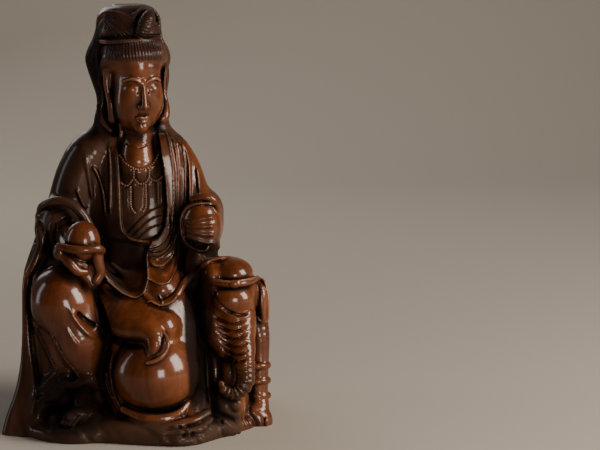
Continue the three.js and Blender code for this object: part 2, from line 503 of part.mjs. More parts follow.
function elephant(block) {
  block.add(limb([[85, -30, 122, 33], [89, 10, 108, 38], [91, 50, 96, 38], [87, 66, 82, 32]]), 6);
  block.add(ball([78.5, -4, 120.5], [38, 40, 41]), 6);
  // Domed head, parted above the brow
  block.add(ball([88, -40, 130.5], [31.5, 32, 38]), 4);
  block.add(ball([94, -50, 154], [20, 22, 15]), 4);
  block.add(ball([74, -50, 152], [13, 20, 14]), 4);
  block.add(ball([95, -58, 131], [20, 21, 18]), 4);
  // Ears
  block.add(ball([66.5, -34, 113], [16, 16, 36]), 2);
  block.add(limb([[118.5, -34, 141, 4.4], [123, -38, 133, 5], [123.5, -40, 120.5, 5.2],
    [123.5, -42, 108, 4.4]], [1, 1.6, 1]), 1.5);
  block.add(limb([[119.5, -36, 146, 1.6], [125, -42, 143.5, 1.6], [128, -44, 134, 1.6],
    [128.5, -46, 119.5, 1.6], [127.5, -46, 105.5, 1.8], [121, -48, 105.5, 1.8],
    [118, -48, 109, 1.6]]), 1);
  // Face and trunk, ringed, curling in at the tip
  block.add(limb([[94, -56, 121.5, 22], [97, -62, 107, 19.5], [99.5, -70, 93, 16],
    [103.5, -80, 81.5, 10.5], [105.5, -85, 68.5, 8], [106, -88, 55.5, 7.6], [101, -90, 46, 7],
    [92.5, -91, 42, 6], [83.5, -91, 45.5, 5.2], [79.5, -91, 51.5, 3.8]], [1, 1, 1], [4.6, 1.5]), 3);
  block.add(limb([[75, -56, 113.5, 17], [78.5, -64, 99.5, 16], [86, -70, 86, 12]]), 3);
  block.add(ball([92.5, -66, 130.5], [20, 15, 16]), 2);
  block.mark([[73.5, 142.5], [78, 131.5], [87.5, 122.5], [101, 117.5], [110.5, 120]],
    2.4, -2, FRONT, 0.2);
  for (let k = 0; k < 6; k += 1) {
    block.mark([[71.5 + 2 * k, 118 - 6.9 * k], [82 + 1.4 * k, 112 - 7.3 * k],
      [94.5 + 0.8 * k, 109.5 - 7.1 * k], [111 - 0.5 * k, 115.5 - 6.9 * k]], 2.2, -2, FRONT, 0.25);
  }
  // Legs, the outer fore leg with its bands, foot and nails
  block.add(limb([[114.5, -20, 108.5, 15], [120.5, -26, 86.5, 11], [122.5, -28, 69.5, 8.5],
    [122.5, -30, 50, 7.5], [122, -32, 27, 7.5], [121.5, -34, 17.5, 9]]), 3);
  for (let k = 0; k < 4; k += 1) {
    block.add(limb([[114 + 0.1 * k, -33, 54.5 - 11.5 * k, 2.2],
      [118 + 0.1 * k, -38.5, 55.5 - 11.5 * k, 2.2], [125 + 0.1 * k, -38, 56 - 11.4 * k, 2.2],
      [129.5 + 0.1 * k, -32, 55.5 - 11.6 * k, 2.2]]), 1);
  }
  block.add(limb([[114.5, -38, 11.5, 10], [120.5, -38, 6.5, 11], [121.5, -38, -0.8, 11]],
    [1.15, 1.2, 1]), 3);
  for (let k = 0; k < 4; k += 1) {
    block.add(ball([108 + 6.1 * k, -48 - 0.5 * k, 3.8 + 0.1 * k], [2.6, 2.6, 5]), 0.6);
  }
  block.add(limb([[76.5, -40, 94.5, 12], [75, -50, 74.5, 8], [76, -56, 56, 7.6], [75, -56, 43, 8]]), 2);
  block.add(limb([[91, -50, 74.5, 10], [90, -62, 61.5, 8.5], [89.5, -64, 48, 8]]), 2);
  for (const x of [73, 113]) {
    block.add(limb([[x - 2, 66, 72, 20], [x, 71, 29, 15], [x, 70, -3, 14]]), 6);
  }
  block.add(limb([[85, 94, 112, 4], [90, 103, 96, 3], [92, 103, 74, 2.8], [91, 99, 56, 4.4]]), 3);
  // Headband with its buckle
  block.add(limb([[59, -34, 138, 3], [67, -58, 146, 3], [76, -69, 148.5, 3], [87.5, -76, 148, 3],
    [101, -75, 148, 3], [111, -64, 148, 3], [119, -40, 145.5, 3]], [1, 1, 1.1]), 0.8);
  block.add(limb([[59, -34, 140.5, 1.2], [66.5, -60.5, 149, 1.2], [76, -72, 151.5, 1.2],
    [87, -79, 151, 1.2], [100.5, -78, 151.5, 1.2], [111, -67, 151.5, 1.2], [119, -42, 148.5, 1.2]]), 0.4);
  block.add(ball([94.5, -78.5, 148.5], [6, 3.4, 4]), 0.6);
  // Cloth hem over the crown
  block.add(limb([[50, -40, 143.5, 2], [58.5, -50, 154, 2.2], [67, -56, 164, 2.4],
    [76.5, -54, 168, 2.4], [88.5, -50, 168, 2.4], [100, -46, 163, 2.4], [109.5, -40, 154, 2.4],
    [115.5, -32, 144, 2.4]]), 1);
}

// A carving stretched by three sizes; its field is scaled by the least of them.
const sized = (block, [sx, sy, sz]) => (x, y, z) => block.field(x / sx, y / sy, z / sz) * Math.min(sx,
  sy, sz);

function carvedHead() {
  const block = new Carving();
  block.add(ball([0, 5, 12], [28, 30, 34]), 0);
  block.add(ball([0, -8, -5], [25, 25, 33.5]), 6);
  block.add(ball([0, -19, -29], [12, 11, 10.5]), 8);
  block.add(ball([0, -12, 18], [22.5, 20, 17]), 6);
  block.add(limb([[0, -31, 8, 2], [0, -35, -3, 2.5], [0, -39, -12, 3.3]]), 3);
  block.add(ball([0, -28.5, -33], [6.5, 5, 5]), 5);
  block.add(limb([[-6.6, -31.8, -23.8, 0.9], [-3, -34.2, -22.8, 1.7], [0, -34.6, -23.4, 1.6],
    [3, -34.2, -22.8, 1.7], [6.6, -31.8, -23.8, 0.9]]), 1);
  block.add(limb([[-5.4, -31.8, -25.6, 0.8], [0, -33.6, -27, 2.2], [5.4, -31.8, -25.6, 0.8]]), 1);
  block.cut(limb([[-7.4, -32.4, -24, 0.35], [-3, -36.2, -24.8, 0.4], [0, -36.6, -25.3, 0.4],
    [3, -36.2, -24.8, 0.4], [7.4, -32.4, -24, 0.35]]), 0.8);
  for (const side of [-1, 1]) {
    block.add(ball([12 * side, -16.5, -13], [13, 12.5, 17]), 8);
    block.add(ball([10 * side, -13, -24], [11, 11, 10]), 8);
    const brow = [[3.4, -32, 6.5, 0.9], [8, -32.3, 9.6, 1.1], [14.5, -29.6, 10.2, 1],
      [20.5, -24, 7, 0.7]];
    block.add(limb(brow.map(([x, ...rest]) => [side * x, ...rest])), 4);
    block.cut(ball([10.8 * side, -38, 3], [9.8, 7, 5]), 3);
    block.add(ball([10.6 * side, -24.4, 0.4], [8.2, 7, 4.8]), 1.6);
    const slit = [[3.2, -30.6, -1.2, 0.3], [7, -32.2, -2.6, 0.4], [11, -32.2, -3, 0.4],
      [15, -30.4, -2.3, 0.4], [19, -26.2, -0.6, 0.3]];
    block.cut(limb(slit.map(([x, ...rest]) => [side * x, ...rest])), 0.6);
    const crease = [[4, -31, 3, 0.3], [8, -32, 4.8, 0.35], [12.5, -31, 5, 0.35], [17, -27.8, 3.6, 0.3],
      [20, -24.4, 1.4, 0.25]];
    block.cut(limb(crease.map(([x, ...rest]) => [side * x, ...rest])), 1);
    block.add(ball([3.9 * side, -35, -13], [2.7, 3.4, 2.4]), 1.5);
    const ear = [[29, -5, 15, 3], [32.5, -3, 13, 3.2], [33.5, -3, 4, 3.2], [31.5, -5, -7, 3],
      [29, -8, -16, 4], [27, -9, -29, 4.4]];
    block.add(limb(ear.map(([x, ...rest]) => [side * x, ...rest])), 2);
    block.add(ball([29.5 * side, -2, 2], [4, 5, 14]), 2);
    block.cut(limb([[side * 30, -8, 11, 1.4], [side * 31, -8, 2, 1.6], [side * 29, -10, -8, 1.2]]), 1.2);
  }
  return block;
}

function headAndNeck(block) {
  const head = carvedHead();
  block.add(limb([[2, -14, 256, 18], [2.9, -13, 269, 15.5], [2.9, -9, 280, 14.5],
    [2.9, -6, 293.5, 15]]), 6);
  block.add(posed(sized(head, HEAD_SIZE), HEAD, HEAD_TURN, 72), 2.5);
  block.mark([[-9.5, 279], [2.9, 274], [15.5, 278]], 1.6, -0.8, [-60, 0]);
}

function hair() {
  const block = new Carving();
  // Soft roll of hair round the brow, down to the ears, and the hair over the crown
  const roll = [[30, 7, 0, 3], [31, 2, 12, 3.6], [29.5, -6, 22, 4.4], [24, -16, 29, 5],
    [13.5, -24, 32, 5.4], [0, -27, 33, 5.6]];
  const otherSide = roll.slice(0, -1).reverse().map(([x, ...rest]) => [-1.2 * x, ...rest]);
  block.add(limb([...roll, ...otherSide]), 0);
  block.add(ball([-3, 4, 28], [36, 31.5, 25]), 3);
  return block;
}

function veil(block) {
  block.add(loft([[264, -1, 10, 49.5, 16, 30], [280.5, -2, 10, 40.6, 20, 30],
    [291.5, -2.7, 10, 36.3, 22, 30], [300.5, -2.2, 10, 36.3, 24, 31], [310.5, -2.2, 11, 33.8, 26, 32],
    [322, -2.7, 12, 33.8, 28, 33], [335, -3.9, 12, 36.5, 29, 34], [347, -4.9, 12, 39.4, 30, 35],
    [358, -4.9, 12, 41.8, 31, 36], [367.5, -4.7, 12, 39.6, 32, 36], [376.5, -4.9, 11, 34.9, 33, 35],
    [386.5, -4.2, 10, 32.2, 33, 33], [395.5, -3.9, 9, 31.4, 33, 31], [402.5, -4.4, 8, 28.9, 31, 28],
    [408, -3.9, 7, 23.5, 24, 24], [411, -2.9, 7, 14.7, 16, 16]], 2.8), 7);
  const hollow = loft([[284.5, 0, -20, 22.4, 40, 16], [297, -0.5, -20, 27.8, 40, 26],
    [307, -1.5, -20, 29.7, 40, 28], [318.5, -1.5, -20, 29.2, 40, 30], [333.5, -2.2, -20, 30.4, 40, 30],
    [348, -3.2, -20, 32.3, 40, 32], [360.5, -3.6, -20, 33.7, 40, 33], [370.5, -3.6, -20, 32.7, 40, 33],
    [379, -3.9, -20, 30, 40, 33], [388.5, -3.9, -20, 28.6, 40, 31], [397.5, -4.1, -20, 26.9, 40, 27],
    [403, -3.4, -20, 22.7, 36, 16], [407, -2.9, -20, 15.5, 32, 6]], 2.4);
  block.cut(hollow, 2);
  // Ends of the veil beside the neck, and a soft rolled edge
  block.add(limb([[-33, -12, 314, 3], [-31.5, -13, 304, 3.4], [-27.5, -15, 296.5, 3.2],
    [-22.5, -17, 291, 2.4]]), 4);
  block.add(limb([[-13.5, -18, 297, 1.6], [-11.5, -20, 291.5, 2.2], [-12.5, -21, 285.5, 1.6]]), 2);
  block.add(limb([[30.5, -12, 322, 2.5], [31, -16, 312.5, 4], [30, -20, 305, 5],
    [27.5, -22, 301.5, 4.2]]), 2);
  const edge = [[-32, -13, 314, 2], [-31, -13, 326, 2], [-35, -13, 337.5, 2], [-38.5, -13, 349.5, 2.2],
    [-41, -13, 360, 2.2], [-39, -13, 370.5, 2.2], [-34.5, -13, 380.5, 2.2], [-33, -13, 391, 2.1],
    [-31.5, -14, 400, 2.1], [-26, -18, 404.5, 2], [-16.5, -23, 404.5, 2], [-7, -26, 401, 1.9],
    [-1, -26, 400, 1.9], [3.9, -26, 404.5, 1.9], [11.5, -23, 409, 1.9], [18.5, -18, 407.5, 2],
    [24.5, -14, 400, 2.1], [25.5, -13, 390, 2.1], [26.5, -13, 380.5, 2.1], [30.5, -13, 370.5, 2.2],
    [32.5, -13, 360, 2.2], [31, -13, 347.5, 2], [29.5, -13, 333.5, 2], [29.5, -13, 320, 2]];
  block.add(limb(edge), 2.5);
}

function knot(block) {
  block.add(ball([-3.9, -12, 387], [30, 22, 14]), 3);
  block.add(ball([-4.9, -9, 394.5], [27, 21, 14]), 4);
  block.add(limb([[3.9, -34, 382, 3], [9.5, -36, 391, 6], [14.5, -32, 399.5, 5], [17.5, -24, 407.5, 3]],
    [1, 1.4, 1]), 2);
  // Hairband
  block.add(limb([[-31, -22, 377.5, 1.5], [-22, -33, 377.5, 1.7], [-8.5, -39, 378.5, 1.8],
    [5.8, -38, 379, 1.8], [17.5, -30, 379, 1.7], [24, -20, 378, 1.5]], [1, 1, 1.3]), 0.8);
}

function figure() {
  const block = new Carving();
  for (const part of [rockBase, backDrape, torso, lap, rightLeg, rightArm, elephant, leftArm, veil,
    knot]) {
    part(block);
  }
  const headHair = hair();
  block.add(posed(sized(headHair, HEAD_SIZE), HEAD, HEAD_TURN, 72), 1);
  headAndNeck(block);
  return block;
}
// The surface where the field is 0: each cell of a grid is parted into six tetrahedra,
// and each tetrahedron that the surface passes gives one or two triangles.
function carvedSurface(carving, step) {
  const counts = BLOCK_TO.map((v, i) => Math.ceil((v - BLOCK_FROM[i]) / step) + 1);
  const [nx, ny, nz] = counts;
  const values = new Float32Array(nx * ny * nz).fill(NaN);
  const index = (i, j, k) => (i * ny + j) * nz + k;
  const place = (n) => {
    const k = n % nz;
    const j = Math.floor(n / nz) % ny;
    const i = Math.floor(n / (nz * ny));
    return [BLOCK_FROM[0] + i * step, BLOCK_FROM[1] + j * step, BLOCK_FROM[2] + k * step];
  };
  // The block's own faces count as outside, so the surface is closed there.
  const onFace = (i, j, k) => i === 0 || j === 0 || k === 0 || i === nx - 1 || j === ny - 1 || k === nz - 1;
  const side = 8;
  const eachPoint = (start, act) => {
    const end = start.map((v, i) => Math.min(v + side, counts[i] - 1));
    for (let i = start[0]; i <= end[0]; i += 1) {
      for (let j = start[1]; j <= end[1]; j += 1) {
        for (let k = start[2]; k <= end[2]; k += 1) if (Number.isNaN(values[index(i, j, k)])) act(i, j, k);
      }
    }
  };
  // Cubes that the surface may reach are worked out point by point, the others from their middles alone.
  const far = [];
  const reach = side * step * Math.sqrt(3) / 2;
  for (let i = 0; i < nx - 1; i += side) {
    for (let j = 0; j < ny - 1; j += side) {
      for (let k = 0; k < nz - 1; k += side) {
        const lo = place(index(i, j, k));
        const hi = lo.map((v) => v + side * step);
        const steps = carving.near(lo, hi);
        const middle = carving.field(...lo.map((v) => v + (side * step) / 2), steps);
        if (Math.abs(middle) > 1.4 * reach) far.push([[i, j, k], middle]);
        else {
          eachPoint([i, j, k], (a, b, c) => {
            const value = carving.field(...place(index(a, b, c)), steps);
            values[index(a, b, c)] = Math.sign(value || 1) * Math.max(Math.abs(value), 0.05 * step);
          });
        }
      }
    }
  }
  for (const [start, middle] of far) eachPoint(start, (i, j, k) => { values[index(i, j, k)] = middle; });
  for (let i = 0; i < nx; i += 1) {
    for (let j = 0; j < ny; j += 1) {
      for (let k = 0; k < nz; k += 1) if (onFace(i, j, k)) values[index(i, j, k)] = step;
    }
  }
  const points = [];
  const triangles = [];
  const crossings = new Map();
  const crossing = (a, b) => {
    const [p, q] = a < b ? [a, b] : [b, a];
    const key = p * 8 + edgeCode(q - p, ny, nz);
    let id = crossings.get(key);
    if (id === undefined) {
      const share = Math.min(Math.max(values[p] / (values[p] - values[q]), 0.04), 0.96);
      const [from, to] = [place(p), place(q)];
      id = points.length;
      points.push(from.map((v, n) => v + (to[n] - v) * share));
      crossings.set(key, id);
    }
    return id;
  };
  for (let i = 0; i < nx - 1; i += 1) {
    for (let j = 0; j < ny - 1; j += 1) {
      for (let k = 0; k < nz - 1; k += 1) {
        const corners = [];
        for (let c = 0; c < 8; c += 1) corners.push(index(i + (c & 1), j + ((c >> 1) & 1), k + (c >> 2)));
        const inside = corners.filter((c) => values[c] < 0).length;
        if (inside === 0 || inside === 8) continue;
        for (const tetrahedron of TETRAHEDRA) {
          sliceTetrahedron(tetrahedron.map((c) => corners[c]), values, crossing, place, points, triangles);
        }
      }
    }
  }
  return { points, triangles };
}

// Six tetrahedra around the long diagonal of a cell, each with the same handedness.
const TETRAHEDRA = [[0, 1, 3, 7], [0, 3, 2, 7], [0, 2, 6, 7], [0, 6, 4, 7], [0, 4, 5, 7], [0, 5, 1, 7]];

// A small code for each of the seven directions that a cell's edges and diagonals take.
function edgeCode(offset, ny, nz) {
  const offsets = [nz * ny, nz, nz * ny + nz, 1, nz * ny + 1, nz + 1, nz * ny + nz + 1];
  return offsets.indexOf(offset);
}

// The triangles in one tetrahedron t, wound to face from its corners inside to those outside.
function sliceTetrahedron(t, values, crossing, place, points, triangles) {
  const low = t.filter((n) => values[n] < 0);
  const high = t.filter((n) => values[n] >= 0);
  if (low.length === 0 || high.length === 0) return;
  const [from, to] = [place(low[0]), place(high[0])];
  const outward = new THREE.Vector3(to[0] - from[0], to[1] - from[1], to[2] - from[2]);
  const push = (...ids) => {
    const [a, b, c] = ids.map((id) => new THREE.Vector3(...points[id]));
    const normal = b.sub(a).cross(c.sub(a));
    triangles.push(normal.dot(outward) > 0 ? ids : [ids[0], ids[2], ids[1]]);
  };
  if (low.length === 1) push(...high.map((h) => crossing(low[0], h)));
  else if (high.length === 1) push(...low.map((l) => crossing(l, high[0])));
  else {
    const [a, b, c, d] = [[0, 0], [0, 1], [1, 1], [1, 0]].map(([l, h]) => crossing(low[l], high[h]));
    push(a, b, c);
    push(a, c, d);
  }
}

// The outer skin: the triangles joined to the widest piece, so that closed hollows inside are left out.
function outerSkin({ points, triangles }) {
  const leader = points.map((_, id) => id);
  const find = (id) => {
    let top = id;
    while (leader[top] !== top) top = leader[top];
    while (leader[id] !== top) [id, leader[id]] = [leader[id], top];
    return top;
  };
  for (const [a, b, c] of triangles) {
    leader[find(a)] = find(b);
    leader[find(b)] = find(c);
  }
  const sizes = new Map();
  for (const [a] of triangles) sizes.set(find(a), (sizes.get(find(a)) ?? 0) + 1);
  const largest = [...sizes].sort((p, q) => q[1] - p[1])[0]?.[0];
  const kept = triangles.filter(([a]) => find(a) === largest);
  const ids = new Map();
  for (const triangle of kept) for (const id of triangle) if (!ids.has(id)) ids.set(id, ids.size);
  return { points: [...ids.keys()].map((id) => points[id]), triangles: kept.map((t) => t.map((id) => ids.get(id))) };
}

// A heap of edges, the cheapest first.
class EdgeHeap {
  constructor() {
    this.items = [];
  }

  push(item) {
    const { items } = this;
    let i = items.push(item) - 1;
    while (i > 0) {
      const parent = (i - 1) >> 1;
      if (items[parent].cost <= item.cost) break;
      items[i] = items[parent];
      i = parent;
    }
    items[i] = item;
  }

  pop() {
    const { items } = this;
    const top = items[0];
    const item = items.pop();
    if (items.length === 0) return top;
    let i = 0;
    for (;;) {
      let child = 2 * i + 1;
      if (child >= items.length) break;
      if (child + 1 < items.length && items[child + 1].cost < items[child].cost) child += 1;
      if (items[child].cost >= item.cost) break;
      items[i] = items[child];
      i = child;
    }
    items[i] = item;
    return top;
  }
}

const cross = (a, b) => [a[1] * b[2] - a[2] * b[1], a[2] * b[0] - a[0] * b[2], a[0] * b[1] - a[1] * b[0]];
const minus = (a, b) => [a[0] - b[0], a[1] - b[1], a[2] - b[2]];
const dot = (a, b) => a[0] * b[0] + a[1] * b[1] + a[2] * b[2];

// Fewer triangles for the same form: the edge whose merging moves the surface least goes first.
// A vertex's ten numbers sum the squared distances from the planes of the triangles around it.
function simplified({ points, triangles }, target, importance) {
  const PULL = 2e-3;
  const position = points.map((p) => [...p]);
  const faces = triangles.map((t) => [...t]);
  const around = position.map(() => new Set());
  faces.forEach((face, f) => face.forEach((v) => around[v].add(f)));
  const sums = position.map(() => new Float64Array(10));
  const addPlane = (q, [a, b, c], d, w) => {
    [a * a, a * b, a * c, a * d, b * b, b * c, b * d, c * c, c * d, d * d].forEach((v, i) => { q[i] += w * v; });
  };
  for (const face of faces) {
    const [a, b, c] = face.map((v) => position[v]);
    const n = cross(minus(b, a), minus(c, a));
    const area = Math.hypot(...n);
    const normal = n.map((v) => v / (area + 1e-12));
    for (const v of face) {
      const weight = area * importance(position[v]);
      addPlane(sums[v], normal, -dot(normal, a), weight);
      [[1, 0, 0], [0, 1, 0], [0, 0, 1]].forEach((axis, i) => addPlane(sums[v], axis, -position[v][i], weight * PULL));
    }
  }
  const costAt = (q, [x, y, z]) => q[0] * x * x + 2 * q[1] * x * y + 2 * q[2] * x * z + 2 * q[3] * x
    + q[4] * y * y + 2 * q[5] * y * z + 2 * q[6] * y + q[7] * z * z + 2 * q[8] * z + q[9];
  const bestPlace = (q, fallback) => {
    const m = new THREE.Matrix3().set(q[0], q[1], q[2], q[1], q[4], q[5], q[2], q[5], q[7]);
    const size = q[0] + q[4] + q[7];
    if (Math.abs(m.determinant()) < 1e-10 * size ** 3) return fallback;
    const v = new THREE.Vector3(-q[3], -q[6], -q[8]).applyMatrix3(m.invert());
    return v.toArray();
  };
  const stamp = new Uint32Array(position.length);
  let care = 1;
  const heap = new EdgeHeap();
  const offer = (a, b) => {
    const q = sums[a].map((v, i) => v + sums[b][i]);
    const middle = position[a].map((v, i) => (v + position[b][i]) / 2);
    const place = bestPlace(q, middle);
    heap.push({ cost: costAt(q, place), a, b, place, stamps: [stamp[a], stamp[b]] });
  };
  const neighbours = (v) => {
    const set = new Set();
    for (const f of around[v]) for (const id of faces[f]) if (id !== v) set.add(id);
    return set;
  };
  const doubleArea = ([p, q, r]) => cross(minus(q, p), minus(r, p));
  const fullness = (corners, n) => {
    const sides = corners.map((corner, i) => Math.hypot(...minus(corner, corners[(i + 1) % 3])));
    return Math.hypot(...n) / (Math.max(...sides) ** 2 + 1e-12);
  };
  // Whether moving a corner would turn a triangle too far, or make a full one into a sliver.
  const flips = (v, other, place) => {
    for (const f of around[v]) {
      if (faces[f].includes(other)) continue;
      const before = faces[f].map((id) => position[id]);
      const after = faces[f].map((id) => (id === v ? place : position[id]));
      const [n, m] = [doubleArea(before), doubleArea(after)];
      const [was, is] = [fullness(before, n), fullness(after, m)];
      if (was > 0.05 && dot(n, m) < 0.4 * care * Math.hypot(...n) * Math.hypot(...m)) return true;
      if (is < 0.06 * care && is < was) return true;
    }
    return false;
  };
  let count = faces.length;
  const offerAll = () => position.forEach((_, a) => neighbours(a).forEach((b) => { if (a < b) offer(a, b); }));
  offerAll();
  while (count > target && care > 0) {
    // When every edge left would turn a triangle too far, a larger turn is allowed.
    if (heap.items.length === 0) {
      care -= 0.25;
      offerAll();
      continue;
    }
    const { a, b, place, stamps } = heap.pop();
    if (stamps[0] !== stamp[a] || stamps[1] !== stamp[b]) continue;
    const [na, nb] = [neighbours(a), neighbours(b)];
    if (!na.has(b) || [...na].filter((v) => nb.has(v)).length !== 2) continue;
    if (flips(a, b, place) || flips(b, a, place)) continue;
    for (const f of [...around[b]]) {
      if (faces[f].includes(a)) {
        faces[f].forEach((v) => around[v].delete(f));
        faces[f] = null;
        count -= 1;
      } else {
        faces[f] = faces[f].map((v) => (v === b ? a : v));
        around[a].add(f);
      }
    }
    around[b].clear();
    position[a] = place;
    sums[b].forEach((v, i) => { sums[a][i] += v; });
    stamp[a] += 1;
    stamp[b] += 1;
    neighbours(a).forEach((v) => offer(a, v));
  }
  const ids = new Map();
  const kept = faces.filter(Boolean);
  for (const face of kept) for (const v of face) if (!ids.has(v)) ids.set(v, ids.size);
  return { points: [...ids.keys()].map((v) => position[v]), triangles: kept.map((t) => t.map((v) => ids.get(v))) };
}

const wasm = await Module();
wasm.setup();

function solidFrom({ points, triangles }) {
  const vertProperties = new Float32Array(points.flat());
  const triVerts = new Uint32Array(triangles.flat());
  return new wasm.Manifold(new wasm.Mesh({ numProp: 3, vertProperties, triVerts }));
}

// The face and the hands keep more of their triangles than the broad cloth does.
function importance([x, y, z]) {
  const nearHead = Math.hypot(x - HEAD[0], y - HEAD[1] + 25, z - HEAD[2]) < 48;
  const nearHand = Math.hypot(x - JEWEL[0], y - JEWEL[1], z - JEWEL[2]) < 36;
  return nearHead || nearHand ? 5 : 1;
}

const surface = outerSkin(carvedSurface(figure(), SAMPLE_STEP / unit));
const light = simplified(surface, TRIANGLES, importance);
const scaled = { ...light, points: light.points.map((p) => p.map((v) => v * unit)) };

// The underside is sawn flat at the ground.
const below = new THREE.BoxGeometry(2 * FIGURE_HEIGHT, 2 * FIGURE_HEIGHT, FIGURE_HEIGHT);
below.translate(0, 0, -FIGURE_HEIGHT / 2);
below.deleteAttribute('normal');
below.deleteAttribute('uv');
const box = mergeVertices(below);
const ground = new wasm.Manifold(new wasm.Mesh({
  numProp: 3,
  vertProperties: box.attributes.position.array,
  triVerts: new Uint32Array(box.index.array),
}));
const carved = solidFrom(scaled).subtract(ground).getMesh();

const geometry = new THREE.BufferGeometry();
geometry.setAttribute('position', new THREE.BufferAttribute(new Float32Array(carved.vertProperties), 3));
geometry.setIndex(new THREE.BufferAttribute(new Uint32Array(carved.triVerts), 1));
geometry.computeBoundingBox();
const { min, max } = geometry.boundingBox;
geometry.translate(-(min.x + max.x) / 2, -(min.y + max.y) / 2, -min.z);
geometry.computeVertexNormals();

const wood = new THREE.MeshStandardMaterial({ name: 'carved_wood', color: 0x6b3a22, roughness: 0.3, metalness: 0 });
const figureMesh = new THREE.Mesh(geometry, wood);
figureMesh.name = 'guanyin_figure';

const guanyin = new THREE.Group();
guanyin.name = 'guanyin';
guanyin.add(figureMesh);

export default guanyin;
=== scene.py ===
"""A seated figure in a hooded robe, carved in one with an elephant and a rock base from dark lacquered wood.

The block is a field: forms are joined to it, cut from it and drawn on it, and its skin is the surface where
the field is zero. Lengths in the carving are in millimetres, +Z up, the front towards -Y.
"""
import math

import bmesh
import bpy
import numpy as np
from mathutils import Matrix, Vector


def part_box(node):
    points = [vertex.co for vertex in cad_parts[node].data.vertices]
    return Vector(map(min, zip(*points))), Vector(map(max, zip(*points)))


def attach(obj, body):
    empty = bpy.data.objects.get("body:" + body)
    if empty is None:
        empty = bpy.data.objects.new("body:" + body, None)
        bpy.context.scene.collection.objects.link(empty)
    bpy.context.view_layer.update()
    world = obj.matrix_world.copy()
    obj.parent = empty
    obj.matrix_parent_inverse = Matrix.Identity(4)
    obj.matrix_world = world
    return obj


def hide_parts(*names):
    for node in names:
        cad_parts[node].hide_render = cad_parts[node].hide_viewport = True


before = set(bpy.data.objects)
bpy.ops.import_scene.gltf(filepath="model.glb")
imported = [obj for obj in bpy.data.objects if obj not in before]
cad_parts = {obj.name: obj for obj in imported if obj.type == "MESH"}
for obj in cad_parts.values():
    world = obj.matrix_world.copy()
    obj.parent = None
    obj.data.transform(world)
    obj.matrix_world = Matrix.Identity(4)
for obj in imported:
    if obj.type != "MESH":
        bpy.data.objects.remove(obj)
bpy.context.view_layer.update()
NODE = "guanyin_figure"
MM = 0.001
BODY_CELL = 1.15
HEAD_CELL = 0.75
FAR = 60.0
SPLINE_STEPS = 4
PATCH_QUADS = 90000


# Distances and blends

def smooth_min(a, b, k):
    """The lower of two fields, rounded off over a width k where they meet."""
    if k <= 0:
        return np.minimum(a, b)
    h = np.maximum(k - np.abs(a - b), 0) / k
    return np.minimum(a, b) - h * h * k / 4


def ease(t):
    """From 0 to 1 with level ends: three t squared less two t cubed."""
    t = np.clip(t, 0, 1)
    return t * t * (3 - 2 * t)


def spline(points, steps=SPLINE_STEPS):
    """A smooth curve through rows of numbers: each span is a cubic whose slope at a point is half the step
    between that point's neighbours."""
    p = np.asarray(points, float)
    if len(p) < 3:
        return p
    q = np.vstack([2 * p[0] - p[1], p, 2 * p[-1] - p[-2]])
    t = (np.arange(steps) / steps)[None, :, None]
    a, b, c, d = [q[i:len(q) - 3 + i, None, :] for i in range(4)]
    rows = (2 * b + (c - a) * t + (2 * a - 5 * b + 4 * c - d) * t**2 + (3 * b - a - 3 * c + d) * t**3) / 2
    return np.vstack([rows.reshape(-1, p.shape[1]), p[-1:]])


def turned(turn=0, pitch=0, lean=0):
    """A rotation in degrees: turn about Z, after lean about Y, after pitch about X."""
    a, b, c = np.radians([turn, pitch, lean])
    about_z = np.array([[np.cos(a), -np.sin(a), 0], [np.sin(a), np.cos(a), 0], [0, 0, 1]])
    about_x = np.array([[1, 0, 0], [0, np.cos(b), -np.sin(b)], [0, np.sin(b), np.cos(b)]])
    about_y = np.array([[np.cos(c), 0, np.sin(c)], [0, 1, 0], [-np.sin(c), 0, np.cos(c)]])
    return about_z @ about_y @ about_x


class Form:
    """A distance function of points (N, 3), with the box that the form fills."""

    def __init__(self, distance, lo, hi):
        self.distance = distance
        self.lo = np.asarray(lo, float)
        self.hi = np.asarray(hi, float)


def posed(distance, origin, turn, reach):
    """A form drawn about its own zero, turned and carried to an origin."""
    origin, matrix = np.asarray(origin, float), turned(*turn)
    return Form(lambda p: distance((p - origin) @ matrix), origin - reach, origin + reach)


def ball(centre, radii, turn=(0, 0, 0)):
    """An egg: near * (near - 1) / slope, where near is the length of p over the radii."""
    r = np.asarray(radii, float)

    def distance(p):
        near = np.sqrt(((p / r) ** 2).sum(1)) + 1e-9
        slope = np.sqrt(((p / r**2) ** 2).sum(1)) + 1e-9
        return near * (near - 1) / slope

    return posed(distance, centre, turn, r.max())


def span_shares(p, a, ab):
    """For points (N, D) and spans a to a + ab (S, D): the share along each span and the gap from it,
    (N, S)."""
    length2 = (ab**2).sum(1) + 1e-9
    dots = p @ ab.T - (a * ab).sum(1)
    t = np.clip(dots / length2, 0, 1)
    gap2 = p @ (-2 * a.T) + (a**2).sum(1) + (p**2).sum(1)[:, None]
    gap2 -= t * (2 * dots - t * length2)
    return t, np.sqrt(np.maximum(gap2, 0))


